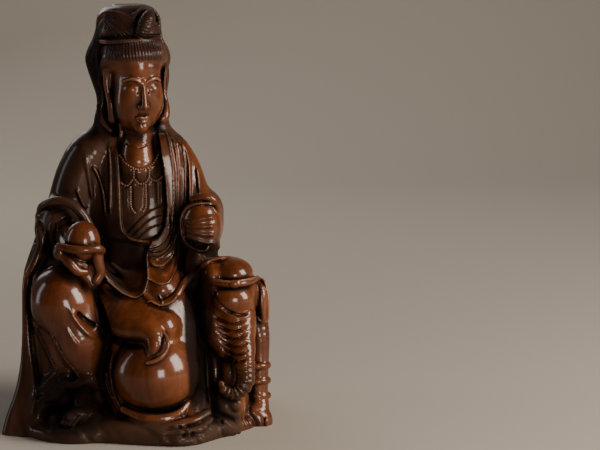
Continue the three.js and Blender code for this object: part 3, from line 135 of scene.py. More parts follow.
def limb(stations, flat=(1, 1, 1), rings=None):
    """A round bar along a spline of stations [x, y, z, radius], its section stretched by flat. Rings are
    grooves across it: [spacing, depth], deepest where the cosine of the length passed is one."""
    rows = spline(stations)
    flat = np.asarray(flat, float)
    place = rows[:, :3] / flat
    a, ab = place[:-1], np.diff(place, axis=0)
    radius, taper = rows[:-1, 3], np.diff(rows[:, 3])
    length = np.sqrt((ab**2).sum(1))
    start = np.concatenate([[0], np.cumsum(length)[:-1]])

    def distance(p):
        t, gap = span_shares(p / flat, a, ab)
        gap = gap - radius - taper * t
        best = gap.min(1)
        if rings:
            which = gap.argmin(1)
            along = start[which] + t[np.arange(len(p)), which] * length[which]
            best = best + rings[1] * np.abs(np.cos(np.pi * along / rings[0])) ** 4
        return best * flat.min()

    size = rows[:, 3:] * flat
    return Form(distance, (rows[:, :3] - size).min(0), (rows[:, :3] + size).max(0))


def loft(stations, power=2.0):
    """A pile of level ovals [z, centre x, centre y, half width, front reach, back reach], squarer as the
    power grows."""
    s = spline(stations)

    def distance(p):
        z = np.clip(p[:, 2], s[0, 0], s[-1, 0])
        cx, cy, rx, front, back = [np.interp(z, s[:, 0], s[:, i]) for i in range(1, 6)]
        dx, dy = p[:, 0] - cx, p[:, 1] - cy
        ry = np.where(dy < 0, front, back)
        u, w = np.abs(dx) / rx, np.abs(dy) / ry
        near = (u**power + w**power) ** (1 / power) + 1e-9
        side = near * (near - 1) / (np.sqrt((u / rx) ** 2 + (w / ry) ** 2) + 1e-9)
        cap = np.maximum(s[0, 0] - p[:, 2], p[:, 2] - s[-1, 0])
        return np.minimum(np.maximum(side, cap), 0) + np.hypot(np.maximum(side, 0), np.maximum(cap, 0))

    lo = [(s[:, 1] - s[:, 3]).min(), (s[:, 2] - s[:, 4]).min(), s[0, 0]]
    hi = [(s[:, 1] + s[:, 3]).max(), (s[:, 2] + s[:, 5]).max(), s[-1, 0]]
    return Form(distance, lo, hi)


def line_distance(q, rows):
    """The gap of points (N, 2) from a line of rows, the side of it, and the share of the line passed."""
    a, ab = rows[:-1], np.diff(rows, axis=0)
    t, gap = span_shares(q, a, ab)
    which = gap.argmin(1)
    pick = np.arange(len(q)), which
    cross = ab[which, 0] * (q[:, 1] - a[which, 1]) - ab[which, 1] * (q[:, 0] - a[which, 0])
    return gap[pick], np.sign(cross), (which + t[pick]) / len(a)


def gate(y, reach):
    """1 between two depths, falling to 0 over 4 mm inside each."""
    return np.clip((y - reach[0]) / 4, 0, 1) * np.clip((reach[1] - y) / 4, 0, 1)


def inside_outline(q, rows):
    """Whether points (N, 2) lie in a closed outline: a ray to the right crosses it an odd number of
    times."""
    a, b = rows[:-1], rows[1:]
    x, z = q[:, :1], q[:, 1:]
    crosses = (a[:, 1] > z) != (b[:, 1] > z)
    rise = np.where(b[:, 1] == a[:, 1], 1e-9, b[:, 1] - a[:, 1])
    at = a[:, 0] + (z - a[:, 1]) * (b[:, 0] - a[:, 0]) / rise
    return (crosses & (x < at)).sum(1) % 2 == 1


class Block:
    """The carving: steps in order, each a form with the width of its blend and how far it still acts."""

    def __init__(self):
        self.steps = []

    def add(self, form, blend=0):
        """Joins a form."""
        self.steps.append(("add", form, blend, blend + 12))

    def cut(self, form, blend=0):
        """Cuts a form away."""
        self.steps.append(("cut", form, blend, blend + 1))

    def bar(self, stations, blend=0, flat=(1, 1, 1), rings=None):
        """Joins a limb."""
        self.add(limb(stations, flat, rings), blend)

    def groove(self, stations, blend, flat=(1, 1, 1)):
        """Cuts a limb away."""
        self.cut(limb(stations, flat), blend)

    def egg(self, centre, radii, blend=0):
        """Joins a ball."""
        self.add(ball(centre, radii), blend)

    def mark(self, line, width, height, reach, ends=0.15, step=0, sharp=1.0):
        """A raised or sunk line, drawn from the front. Its height falls off over the width on both sides, or
        with step 1 or -1 only on one, so that it reads as the edge of a fold."""
        rows = spline(line)

        def distance(p):
            gap, side, along = line_distance(p[:, [0, 2]], rows)
            fade = ease(np.minimum(along, 1 - along) / ends)
            profile = ease(1 - gap / width) ** sharp
            if step:
                profile = np.where(side == step, profile, ease(1 - gap / (0.22 * width)))
            return -height * profile * fade * gate(p[:, 1], reach)

        self.drawn(distance, rows, 1.2 * width, reach)

    def panel(self, outline, height, edge, reach):
        """Raises or sinks all that lies in a closed outline, drawn from the front, with an edge as wide as
        given."""
        rows = spline(list(outline) + [outline[0]])

        def distance(p):
            q = p[:, [0, 2]]
            gap, _, _ = line_distance(q, rows)
            gap = np.where(inside_outline(q, rows), gap, -gap)
            return -height * ease(gap / (2 * edge) + 0.5) * gate(p[:, 1], reach)

        self.drawn(distance, rows, edge, reach)

    def drawn(self, distance, rows, margin, reach):
        """Keeps a step that is drawn on the front, with its box."""
        lo, hi = rows.min(0) - margin, rows.max(0) + margin
        self.steps.append(("mark", Form(distance, [lo[0], reach[0], lo[1]], [hi[0], reach[1], hi[1]]), 0, 0))

    def relief(self, height, lo, hi):
        """Raises the skin by a height worked out from the point, inside a box."""
        self.steps.append(("mark", Form(lambda p: -height(p), lo, hi), 0, 0))

    def value(self, p, steps=None):
        """The field at points: below 0 in the wood."""
        d = np.full(len(p), FAR)
        x, y, z = p.T
        for kind, form, blend, pad in self.steps if steps is None else steps:
            lo, hi = form.lo - pad, form.hi + pad
            inside = (x >= lo[0]) & (x <= hi[0]) & (y >= lo[1]) & (y <= hi[1]) & (z >= lo[2]) & (z <= hi[2])
            near = np.flatnonzero(inside)
            if not len(near):
                continue
            v = form.distance(p[near])
            if kind == "add":
                d[near] = smooth_min(d[near], v, blend)
            elif kind == "cut":
                d[near] = -smooth_min(-d[near], v, blend)
            else:
                d[near] += v
        return d

    def field(self, p, size=40.0):
        """The field at points, cube by cube, with the steps that reach each cube. A cube's key holds its
        three numbers in ten bits each, moved up by 512 to stay above zero."""
        cube = np.floor(p / size).astype(np.int64) + 512
        key = cube[:, 0] * 2**20 + cube[:, 1] * 2**10 + cube[:, 2]
        order = np.argsort(key, kind="stable")
        out = np.empty(len(p))
        for ids in np.split(order, np.flatnonzero(np.diff(key[order])) + 1):
            q = p[ids]
            lo, hi = q.min(0), q.max(0)
            near = [s for s in self.steps if (s[1].lo - s[3] <= hi).all() and (s[1].hi + s[3] >= lo).all()]
            out[ids] = self.value(q, near)
        return out


# From the field to a skin

CORNERS = np.array([[i, j, k] for i in (0, 1) for j in (0, 1) for k in (0, 1)])
EDGES = [(a, b) for a in range(8) for b in range(a + 1, 8) if bin(a ^ b).count("1") == 1]


class Cells:
    """Small cubes by their whole-number places, found again by one sorted key each."""

    def __init__(self, counts):
        self.dims = counts + 2

    def key(self, c):
        return (c[..., 0] * self.dims[1] + c[..., 1]) * self.dims[2] + c[..., 2]

    def place(self, k):
        high, deep = self.dims[2], self.dims[1]
        return np.stack([k // (deep * high), k // high % deep, k % high], -1)


def net(field, lo, hi, cell, start=16.0):
    """The skin of a field as vertices and quads. Cubes are halved only where the field is near zero; a cube
    that the skin crosses holds one vertex, the middle of the places where its edges cross; four cubes
    round a crossed edge make a quad. The third result is each vertex's layer of cubes, counted from the
    ground."""
    lo = np.asarray(lo, float)
    halvings = int(round(np.log2(start / cell)))
    size = cell * 2**halvings
    counts = np.ceil((np.asarray(hi, float) - lo) / size).astype(int)
    cells = np.stack(np.meshgrid(*[np.arange(v) for v in counts], indexing="ij"), -1).reshape(-1, 3)
    for level in range(halvings):
        near = np.abs(field(lo + (cells + 0.5) * size)) < size + (2 if level < halvings - 1 else 0)
        cells = (cells[near][:, None, :] * 2 + CORNERS).reshape(-1, 3)
        size /= 2
    grid = Cells(counts * 2**halvings)
    corners = np.unique(grid.key((cells[:, None, :] + CORNERS).reshape(-1, 3)))
    values = field(lo + grid.place(corners) * size)
    known = np.sort(grid.key(cells))
    new = cells
    while len(new):
        wanted = through_faces(new, values[np.searchsorted(corners, grid.key(new[:, None, :] + CORNERS))])
        keys = np.unique(grid.key(wanted[((wanted >= 0) & (wanted < grid.dims - 2)).all(1)]))
        new = grid.place(np.setdiff1d(keys, known))
        cells, known = np.vstack([cells, new]), np.union1d(known, keys)
        fresh = np.setdiff1d(grid.key((new[:, None, :] + CORNERS).reshape(-1, 3)), corners)
        values = np.concatenate([values, field(lo + grid.place(fresh) * size)]) if len(fresh) else values
        corners = np.concatenate([corners, fresh])
        order = np.argsort(corners)
        corners, values = corners[order], values[order]
    value = values[np.searchsorted(corners, grid.key(cells[:, None, :] + CORNERS))]
    value = np.where(np.abs(value) < 1e-6, 1e-6, value)
    crossed = (value < 0).any(1) & (value >= 0).any(1)
    cells, value = cells[crossed], value[crossed]
    order = np.argsort(grid.key(cells))
    cells, value = cells[order], value[order]
    return lo + (cells + middles(value)) * size, quads_round_edges(grid, cells, value < 0), cells[:, 2]


def through_faces(cells, value):
    """The neighbours that the skin reaches through a face of each cube."""
    low = value < 0
    wanted = []
    for axis in range(3):
        bit = 1 << (2 - axis)
        for side in (0, 1):
            face = [c for c in range(8) if bool(c & bit) == bool(side)]
            crossed = low[:, face].any(1) & ~low[:, face].all(1)
            wanted.append(cells[crossed] + (2 * side - 1) * np.eye(3, dtype=int)[axis])
    return np.vstack(wanted)


def middles(value):
    """In each cube, the mean of the places on its edges where the field is zero."""
    inside = value < 0
    total, count = np.zeros((len(value), 3)), np.zeros(len(value))
    for a, b in EDGES:
        m = inside[:, a] != inside[:, b]
        t = value[:, a] / np.where(m, value[:, a] - value[:, b], 1)
        total += (CORNERS[a] + (CORNERS[b] - CORNERS[a]) * t[:, None]) * m[:, None]
        count += m
    return total / count[:, None]


def quads_round_edges(grid, cells, inside):
    """For each crossed edge, the four cubes round it in order, so that the face looks out of the wood."""
    keys = grid.key(cells)
    quads = []
    for axis in range(3):
        u, v = np.eye(3, dtype=int)[(axis + 1) % 3], np.eye(3, dtype=int)[(axis + 2) % 3]
        m = np.flatnonzero(inside[:, 0] != inside[:, 1 << (2 - axis)])
        m = m[(cells[m] @ u > 0) & (cells[m] @ v > 0)]
        around = np.stack([grid.key(cells[m] + step) for step in (0 * u, -u, -u - v, -v)], 1)
        ids = np.minimum(np.searchsorted(keys, around), len(keys) - 1)
        good = (keys[ids] == around).all(1)
        ids, flip = ids[good], inside[m[good], 0]
        ids[~flip] = ids[~flip][:, ::-1]
        quads.append(ids)
    return np.vstack(quads)


def slopes(field, p, step=0.3):
    """Unit normals: the field's slope from four differences at the corners of a small tetrahedron."""
    arms = np.array([[1, -1, -1], [-1, -1, 1], [-1, 1, -1], [1, 1, 1]], float)
    total = sum(arm * field(p + arm * step)[:, None] for arm in arms)
    return total / (np.linalg.norm(total, axis=1, keepdims=True) + 1e-12)


# The carving

# The head's middle, its turn, its sizes and the furthest that it reaches from its middle
HEAD = [2, -10, 336]
HEAD_TURN = [14, 9, 0]
HEAD_SIZE = [0.9, 1, 1.13]
HEAD_REACH = 72
# The depths between which lines drawn on the front or the back act
FRONT = [-130, -10]
BACK = [20, 200]


def flutes(p):
    """Rough upright cuts: a sine along x + y that wavers with height, times a slower one, faded up and
    down."""
    x, y, z = p.T
    along = x + 0.8 * y
    waver = 1.8 * np.sin(along / 9) + 1.1 * np.sin(z / 4 + along / 5)
    ridge = np.sin(along / 2.6 + waver) * (0.6 + 0.5 * np.sin(along / 11 + 2 * np.sin(along / 23)))
    return 1.1 * ridge * ease((z - 1) / 4) * ease((22 - z) / 6)


def rock_base(block):
    block.add(loft([[-12, 0, 0, 106, 96, 92], [8, 0, 0, 106, 98, 92], [20, 0, 0, 100, 92, 86],
        [28, 0, 4, 90, 78, 80]], 3))
    block.bar([[-104.5, -58, 4.4, 8], [-87, -80, 4.1, 11], [-62.5, -94, 5.7, 12],
        [-33.5, -90, 6.5, 15], [0, -98, 8, 16], [33.5, -104, 8.5, 16], [60.5, -96, 8, 14],
        [80.5, -76, 4, 11], [105, -52, 2.8, 9]], 8, [1, 1, 0.9])
    # The full wood behind the legs
    block.add(loft([[12, -25, -20, 76, 44, 44], [50, -28, -20, 64, 40, 44],
        [96, -26, -18, 54, 34, 44]], 3), 4)
    # Layers of cloth and rock before the bent knee
    block.egg([26, -86, 7.5], [44, 32, 13], 8)
    block.bar([[-6.5, -96, 19, 6], [14.5, -108, 16.5, 6], [35.5, -112, 19.5, 6], [52.5, -108, 22, 6],
        [66, -98, 26.5, 5]], 3, [1, 1, 0.7])
    block.bar([[4.8, -110, 10, 5], [24, -117, 12.5, 5], [43, -118, 14, 5], [60, -110, 16, 5],
        [69, -98, 20.5, 4]], 2, [1, 1, 0.7])
    block.bar([[25.5, -116, 5.6, 5], [41, -119, 5.4, 6], [56.5, -112, 4.5, 6], [68, -100, 5.3, 6]],
        2, [1, 1, 0.9])
    # Folded cloth at the right of the knee
    block.bar([[59, -84, 39, 7], [53, -94, 31.5, 8], [50, -100, 25, 6]], 3, [1.2, 1, 1])
    block.bar([[49, -96, 38, 2], [44, -102, 31.5, 2.2], [43, -105, 25.5, 2], [50.5, -107, 22, 2],
        [60.5, -104, 23, 2], [68, -98, 27.5, 2]], 1.5)
    # The strip of bark between the knee and the elephant
    block.bar([[62.5, -48, 101, 9], [62.5, -58, 78.5, 9], [62, -68, 51, 9], [63, -82, 26.5, 9]],
        4, [0.9, 1.4, 1])
    block.mark([[66.5, 86], [67.5, 66.5], [68, 48.5], [70.5, 30.5]], 2.2, 2.6, [-130, -40])
    # Rock behind the trunk and under the elephant
    block.egg([85, -52, 25], [22, 30, 24], 5)
    block.bar([[86, -26, 71.5, 22], [86, -30, 50, 22], [86, -38, 25.5, 24]], 6)
    block.bar([[87, 0, 30, 30], [92, 50, 22, 30]], 8, [1.15, 1, 1.4])
    block.egg([94, -74, 29.5], [9, 9, 9], 1.5)
    block.groove([[68, -92, 50.5, 3], [77.5, -94, 48, 2], [87.5, -92, 44.5, 2]], 2, [1, 3, 1])
    # Rough flutes round the foot of the base
    block.relief(flutes, [-125, -135, 1], [130, 110, 22])
    # Left foot and its toes
    block.bar([[72.5, -84, 9, 8], [82, -86, 9.5, 9.5], [92, -82, 6.5, 7]], 2, [1, 1, 0.95])
    for k in range(4):
        block.bar([[83.5 + 2.1 * k, -92 + 3 * k, 16 - 2.2 * k, 2.6],
            [90.5 + 2.5 * k, -90 + 4 * k, 9.5 - 2.3 * k, 2.5]], 0.6)


def back_drape(block):
    block.add(loft([[-12, -10, 22, 112, 60, 74], [60, -8, 20, 98, 54, 70], [110, -6, 18, 88, 48, 62],
        [160, -1, 14, 80, 42, 52], [210, 3, 10, 70, 34, 46], [255, 2, 8, 58, 26, 40],
        [280, 0, 9, 42, 20, 36], [300, -1, 11, 31, 17, 31], [325, -1, 11, 20, 12, 20]], 2.3), 6)
    # Rim of the cape, then its broad face
    block.bar([[-95.5, -34, 179, 4.5], [-101.5, -40, 162, 4.5], [-105, -44, 145, 4.5],
        [-106, -46, 120.5, 4.2], [-106.5, -48, 91, 4.2], [-108.5, -51, 59, 4.6], [-114, -55, 35, 5],
        [-120, -58, 18.5, 6], [-124, -60, 0.9, 7], [-124.5, -60, -8, 7]], 10)
    block.bar([[-84, -18, 158, 13], [-91.5, -26, 121.5, 13], [-95.5, -33, 83, 13],
        [-99.5, -40, 52.5, 13], [-105, -45, 25.5, 15], [-109, -48, 0.8, 17], [-111, -48, -14.5, 17]],
        8, [1, 1.5, 1])
    block.bar([[-66, 8, 212, 12], [-86, 6, 176, 14], [-97, 4, 126, 13], [-102, 4, 64, 12],
        [-116, 2, -17, 14]], 10)
    block.bar([[-50, 26, 232, 12], [-76, 35, 168, 16], [-88, 40, 108, 14], [-99, 46, 45, 14],
        [-106, 54, -31, 16]], 12)
    folds = 5
    for k in range(folds):
        u = (2 * k) / (folds - 1) - 1
        block.mark([[8 * u, 262], [30 * u, 205], [60 * u - 5, 110], [88 * u - 9, 4]],
            13, 4.2, BACK, 0.35)
        block.mark([[8 * u + 14, 205], [34 * u + 18, 150], [60 * u + 14, 80], [82 * u + 8, 4]],
            7, 2, BACK, 0.4)


def torso(block):
    block.egg([7, -14, 127], [56, 50, 40], 10)
    block.egg([7, -28, 140], [44, 46, 30], 8)
    block.add(loft([[120, 6, 2, 56, 54, 40], [150, 6, 2, 50, 50, 40], [190, 7, 2, 44, 41, 40],
        [225, 7, 2, 42, 36, 38], [255, 6, 3, 38, 29, 34], [275, 4, 5, 31, 20, 28],
        [290, 3, 8, 24, 12, 22]], 2.4), 6)
    sleeve = [1, 1.05, 1]
    block.bar([[-22, 4, 280, 12], [-41, 2, 268, 20.5], [-53, 2, 247, 22.5], [-61, 2, 221, 23],
        [-65, 0, 199, 24]], 8, sleeve)
    block.bar([[22, 4, 280, 11], [36, 2, 270, 16], [46, 2, 251, 18], [52.5, 2, 229, 19.5],
        [61, -4, 203, 21.5]], 8, sleeve)
    block.egg([4.9, -4, 252.5], [34, 27, 24], 8)
    # Opening of the robe down to the sash
    opening = [[-15.5, 294], [-16, 276], [-14.5, 256.5], [-14, 222.5], [-13, 199.5], [-9, 191],
        [1, 186.5], [10.5, 186], [20.5, 188.5], [28, 198], [31, 212.5], [30, 233], [27, 259.5],
        [23.5, 281], [18.5, 296]]
    block.panel(opening, -6, 0.9, [-60, 10])
    # Sash low in the opening, in three folds
    for k in range(3):
        sash = [[-9, 189 - 1.6 * k], [-1.9, 197.5 - 7.8 * k], [7, 206.5 - 7.9 * k],
            [16.5, 213.5 - 7.9 * k], [31, 216 - 7.9 * k], [34, 196], [24.5, 181.5], [4.9, 179.5]]
        block.panel(sash, 1.7, 0.8, [-60, 0])
    block.mark([[41, 296], [49.5, 275], [53.5, 255.5], [53.5, 222], [50.5, 200.5]], 3, 3.2, FRONT)
    block.mark([[48, 289], [58.5, 268], [62.5, 245.5], [63.5, 225]], 3, 3, FRONT)
    # Folds of the left side
    block.mark([[-24.5, 280.5], [-23, 246.5], [-24.5, 205.5]], 2.6, 2.6, FRONT)
    block.mark([[-41, 257.5], [-35, 246], [-30, 227], [-28.5, 204.5]], 2.8, 3.2, FRONT)
    block.mark([[-56.5, 235.5], [-52, 223], [-47, 213.5]], 3, 2.2, FRONT)
    block.mark([[-48, 269.5], [-44, 245.5], [-41, 221.5]], 3.4, 1.8, FRONT)


def right_arm(block):
    block.egg([-73, -14, 193.5], [23.5, 26, 33], 6)
    block.bar([[-92.5, -14, 206.5, 4], [-90, -24, 217, 4], [-81, -34, 223.5, 4], [-70, -39, 225, 4.2],
        [-58, -42, 219.5, 4.4], [-49.5, -42, 210, 5], [-44, -40, 196, 6], [-42, -38, 177.5, 7]], 3)
    block.bar([[-92.5, -14, 206.5, 4], [-93, -30, 196, 4.4], [-91, -38, 183.5, 4.6],
        [-95, -42, 170.5, 5], [-101.5, -44, 157, 5]], 3, [1, 1.2, 1])
    block.groove([[-66.5, -52, 211.5, 8], [-75.5, -52, 199.5, 11], [-78.5, -52, 186, 10],
        [-80.5, -54, 172.5, 8], [-85.5, -52, 164.5, 5]], 2, [1, 1.3, 1])
    for k in range(4):
        block.mark([[-87.5 + 3.9 * k, 187 + 1.9 * k], [-86 + 3.9 * k, 200.5 + k],
            [-77 + 3 * k, 211.5 - k], [-61.5 + k, 215 - 2.4 * k]], 2.2, 1.3, [-80, 0])
    # Forearm, and the hand with the round jewel
    block.bar([[-65.5, -34, 191, 12], [-63, -58, 183, 12], [-60.5, -74, 181, 10]], 3)
    block.egg([-50, -77, 191], [17, 16, 20.5], 1.5)
    block.egg([-71.5, -83, 182.5], [6.6, 8, 8.5], 3)
    block.bar([[-71.5, -88, 189, 3.6], [-61.5, -95, 187.5, 4], [-48.5, -97, 186.5, 4.2],
        [-36, -92, 187, 4.4], [-32, -86, 184, 4.2]], 1)
    block.bar([[-66, -86, 179, 6], [-61, -91, 172.5, 5.2], [-54.5, -91, 165.5, 4.4],
        [-47.5, -88, 164, 3.2]], 1.5)
    block.bar([[-61, -80, 177, 6], [-54.5, -84, 172, 5], [-48, -84, 169, 4]], 1.5)
    block.bar([[-36.5, -84, 182, 6.2], [-35.5, -84, 172, 5.6], [-33.5, -83, 163, 5],
        [-37.5, -84, 155, 5]], 1.5)


def right_leg(block):
    block.bar([[-57, -40, 142, 24], [-34, -20, 124, 24], [-11, 0, 116, 24]], 8)
    block.egg([-71.5, -58, 131], [31.5, 38, 35], 0.5)
    block.bar([[-65, -62, 127, 27], [-59.5, -64, 109.5, 26.5], [-54, -66, 94, 25],
        [-50.5, -68, 80.5, 19.5], [-48.5, -70, 69, 14], [-46.5, -72, 58, 9.5]], 5, [1, 1.12, 1])
    # Cloth hanging behind the shin in two layers
    block.bar([[-81, -50, 110.5, 20], [-77, -52, 93, 16.5], [-72, -54, 75.5, 14.5],
        [-65.5, -57, 60, 12], [-61.5, -60, 49, 9]], 1.5, [1, 1.3, 1])
    block.bar([[-89, -40, 94.5, 14], [-86.5, -42, 75, 13], [-83.5, -46, 55.5, 12], [-86, -52, 41, 9],
        [-90, -58, 28.5, 6]], 1.5, [1, 1.3, 1])
    # The recess between the leg and the cape
    block.groove([[-102, -66, 141.5, 1.6], [-102.5, -66, 115, 1.8], [-100.5, -68, 85.5, 2.4],
        [-97, -70, 61.5, 3], [-95, -74, 40.5, 3], [-99, -78, 21.5, 3]], 2, [1, 6, 1])
    block.mark([[-58, 127], [-52.5, 120], [-45, 113.5], [-37.5, 109]], 4.2, -4.5, FRONT, 0.2)
    block.mark([[-64, 134], [-58, 121], [-52.5, 112.5], [-45, 104.5], [-33.5, 96.5]],
        4.2, 3, FRONT, 0.3)
    block.mark([[-69.5, 116], [-62, 102], [-52.5, 90.5]], 4, 1.2, FRONT, 0.3)
    block.mark([[-97.5, 108.5], [-92, 95.5], [-84, 79.5], [-77.5, 65], [-73, 52.5]], 2, 1.8, FRONT, 0.1)
    block.mark([[-81.5, 103], [-75, 90], [-67.5, 76.5], [-60.5, 67.5], [-55, 60]], 2, 1.8, FRONT, 0.1)
    # The robe's hem over the bare foot, and the ledge round it
    block.bar([[-35, -66, 52.5, 4], [-38.5, -78, 50, 4], [-45, -85, 57, 3.6], [-53, -85, 56.5, 4],
        [-58, -83, 53.5, 3.8], [-63.5, -80, 52.5, 3.8], [-69.5, -77, 53, 3.8], [-72, -76, 49, 3.8],
        [-75.5, -73, 42, 3.8], [-81.5, -71, 38, 3.8], [-88.5, -68, 36.5, 3.8],
        [-92.5, -66, 31.5, 3.8], [-95.5, -66, 22.5, 3.8], [-98.5, -66, 12.5, 3.8]], 7)
    block.bar([[-67, -60, 63, 11], [-73, -60, 55, 11], [-81, -58, 48.5, 11], [-89, -54, 41.5, 9]],
        4, [1, 1.2, 1])
    block.egg([-44.5, -80, 56.5], [7.5, 7, 6.5], 3)
    block.bar([[-51.5, -64, 46, 9.5], [-52.5, -74, 34.5, 9.5], [-49.5, -80, 27, 9]], 3)
    block.bar([[-43.5, -76, 27, 8], [-53, -86, 24.5, 9], [-61.5, -93, 24.5, 7.6],
        [-66, -97, 24.5, 5.6]], 3, [1, 1, 0.9])
    for k in range(4):
        block.bar([[-64.5 + 2.9 * k, -97 - 0.6 * k, 28 - 1.1 * k, 2.2],
            [-72 + 3.3 * k, -100 - 0.4 * k, 20 - 0.8 * k, 2.1]], 0.5)
    block.bar([[-81, -82, 20.5, 3.4], [-79, -91, 13, 4], [-72, -97, 7.5, 4.6], [-57.5, -99, 7, 5],
        [-45, -94, 13.5, 5], [-38.5, -86, 21.5, 5]], 6)


def lap(block):
    block.bar([[14, -30, 134, 28], [20, -48, 112, 34], [20, -62, 86, 34]], 8, [1.04, 1, 1])
    block.egg([17.5, -79, 63.5], [41.5, 42, 41], 2)
    block.bar([[40, -56, 115.5, 14], [41.5, -66, 105, 16], [39.5, -72, 86.5, 18]], 6)
    # Folds round the knee at its left
    block.bar([[-17.5, -72, 86.5, 9], [-21, -76, 70.5, 9], [-19.5, -78, 48.5, 10],
        [-10.5, -84, 30, 10]], 1.5)
    block.bar([[-23.5, -66, 85, 8.5], [-26.5, -68, 66, 8], [-24, -72, 44, 8.5], [-15.5, -80, 26, 8]],
        1.2)
    block.mark([[-27.5, 88], [-31.5, 70.5], [-28.5, 50.5], [-22, 36]], 2.6, 3, FRONT)
    block.mark([[-21, 88], [-25.5, 68.5], [-23, 48.5], [-14.5, 28.5]], 2.4, 2.4, FRONT)
    block.bar([[-12.5, -96, 31, 4], [4.8, -106, 25.5, 5], [22, -109, 24.5, 5],
        [37.5, -106, 27.5, 4.4], [47, -98, 35.5, 3]], 3, [1, 1, 1.1])
    # The swag between the knees, the hollows round it and its gathered end
    block.bar([[-41, -34, 139, 10], [-33, -50, 132.5, 14], [-20.5, -62, 121, 18],
        [-3.9, -72, 114, 20], [10.5, -80, 111, 20], [24, -86, 108, 17]], 7)
    block.bar([[-29.5, -38, 139, 15], [-9.5, -52, 132.5, 19], [14.5, -58, 128, 22],
        [36, -58, 122, 16]], 8)
    block.bar([[-37, -56, 129.5, 6], [-29, -68, 117, 8], [-20, -78, 110.5, 9.5],
        [-7.5, -88, 108.5, 10], [5.7, -95, 109, 9.5], [15, -100, 106.5, 9]], 6, [1, 1.2, 1])
    block.egg([-28.5, -44, 80.5], [24, 26, 28], 4)
    block.bar([[4.8, -92, 109.5, 9], [14.5, -100, 106.5, 10], [18, -108, 98.5, 8.6],
        [17, -110, 90, 7]], 3)
    block.groove([[-27.5, -96, 102.5, 3.4], [-22, -98, 96, 4.6], [-12.5, -104, 94.5, 4.2],
        [-1.9, -110, 95, 4], [6.5, -116, 95, 3.2], [9.5, -118, 89, 1.8]], 1.5, [1, 4, 1])
    block.groove([[-43, -66, 143.5, 2], [-39, -72, 133.5, 3], [-34.5, -78, 124, 3.8],
        [-31, -82, 113, 4.4], [-28.5, -86, 101.5, 4.6], [-30, -86, 89.5, 4], [-32, -86, 75, 3.4],
        [-33.5, -86, 57, 2.6]], 2, [1, 6, 1])
    block.groove([[26.5, -112, 108, 1.2], [26.5, -118, 101.5, 1.6], [24.5, -121, 94.5, 1.7],
        [19, -122, 89, 1.7], [12.5, -121, 85.5, 1.5]], 1, [1, 4, 1])
    block.bar([[9.5, -120, 81.5, 1.4], [16, -122, 83.5, 1.9], [22.5, -122, 87, 2],
        [27.5, -120, 92.5, 2], [29.5, -117, 99.5, 2], [27.5, -110, 105.5, 1.8],
        [22, -102, 109.5, 1.4]], 2)
    # Hems of the robe over the lap
    block.bar([[-22.5, -52, 164.5, 9], [-12.5, -54, 157, 9], [-2.9, -54, 153, 9]], 8)
    block.bar([[-33.5, -80, 167.5, 5], [-28, -78, 160.5, 4.6], [-21, -77, 153, 4],
        [-14.5, -76, 146, 3.6], [-6.5, -75, 141, 3.4], [0, -74, 140, 3.2], [5.8, -74, 144, 3],
        [9.5, -72, 151.5, 2.6]], 4)
    block.bar([[-30, -64, 144, 3.6], [-22, -70, 136.5, 3.6], [-13.5, -73, 130.5, 3.6],
        [-3.8, -75, 127.5, 3.6], [6.5, -76, 127, 3.4], [14.5, -77, 129, 3]], 4)
    block.egg([24.5, -48, 142], [22, 34, 18], 6)
    block.bar([[8.5, -78, 140, 3], [14.5, -81, 133.5, 3.4], [22, -83, 131, 3.6],
        [30.5, -82, 133, 3.8], [38.5, -78, 138, 4], [44.5, -68, 145.5, 4], [51.5, -56, 150.5, 4],
        [59.5, -50, 153, 3]], 2, [1, 1, 0.9])


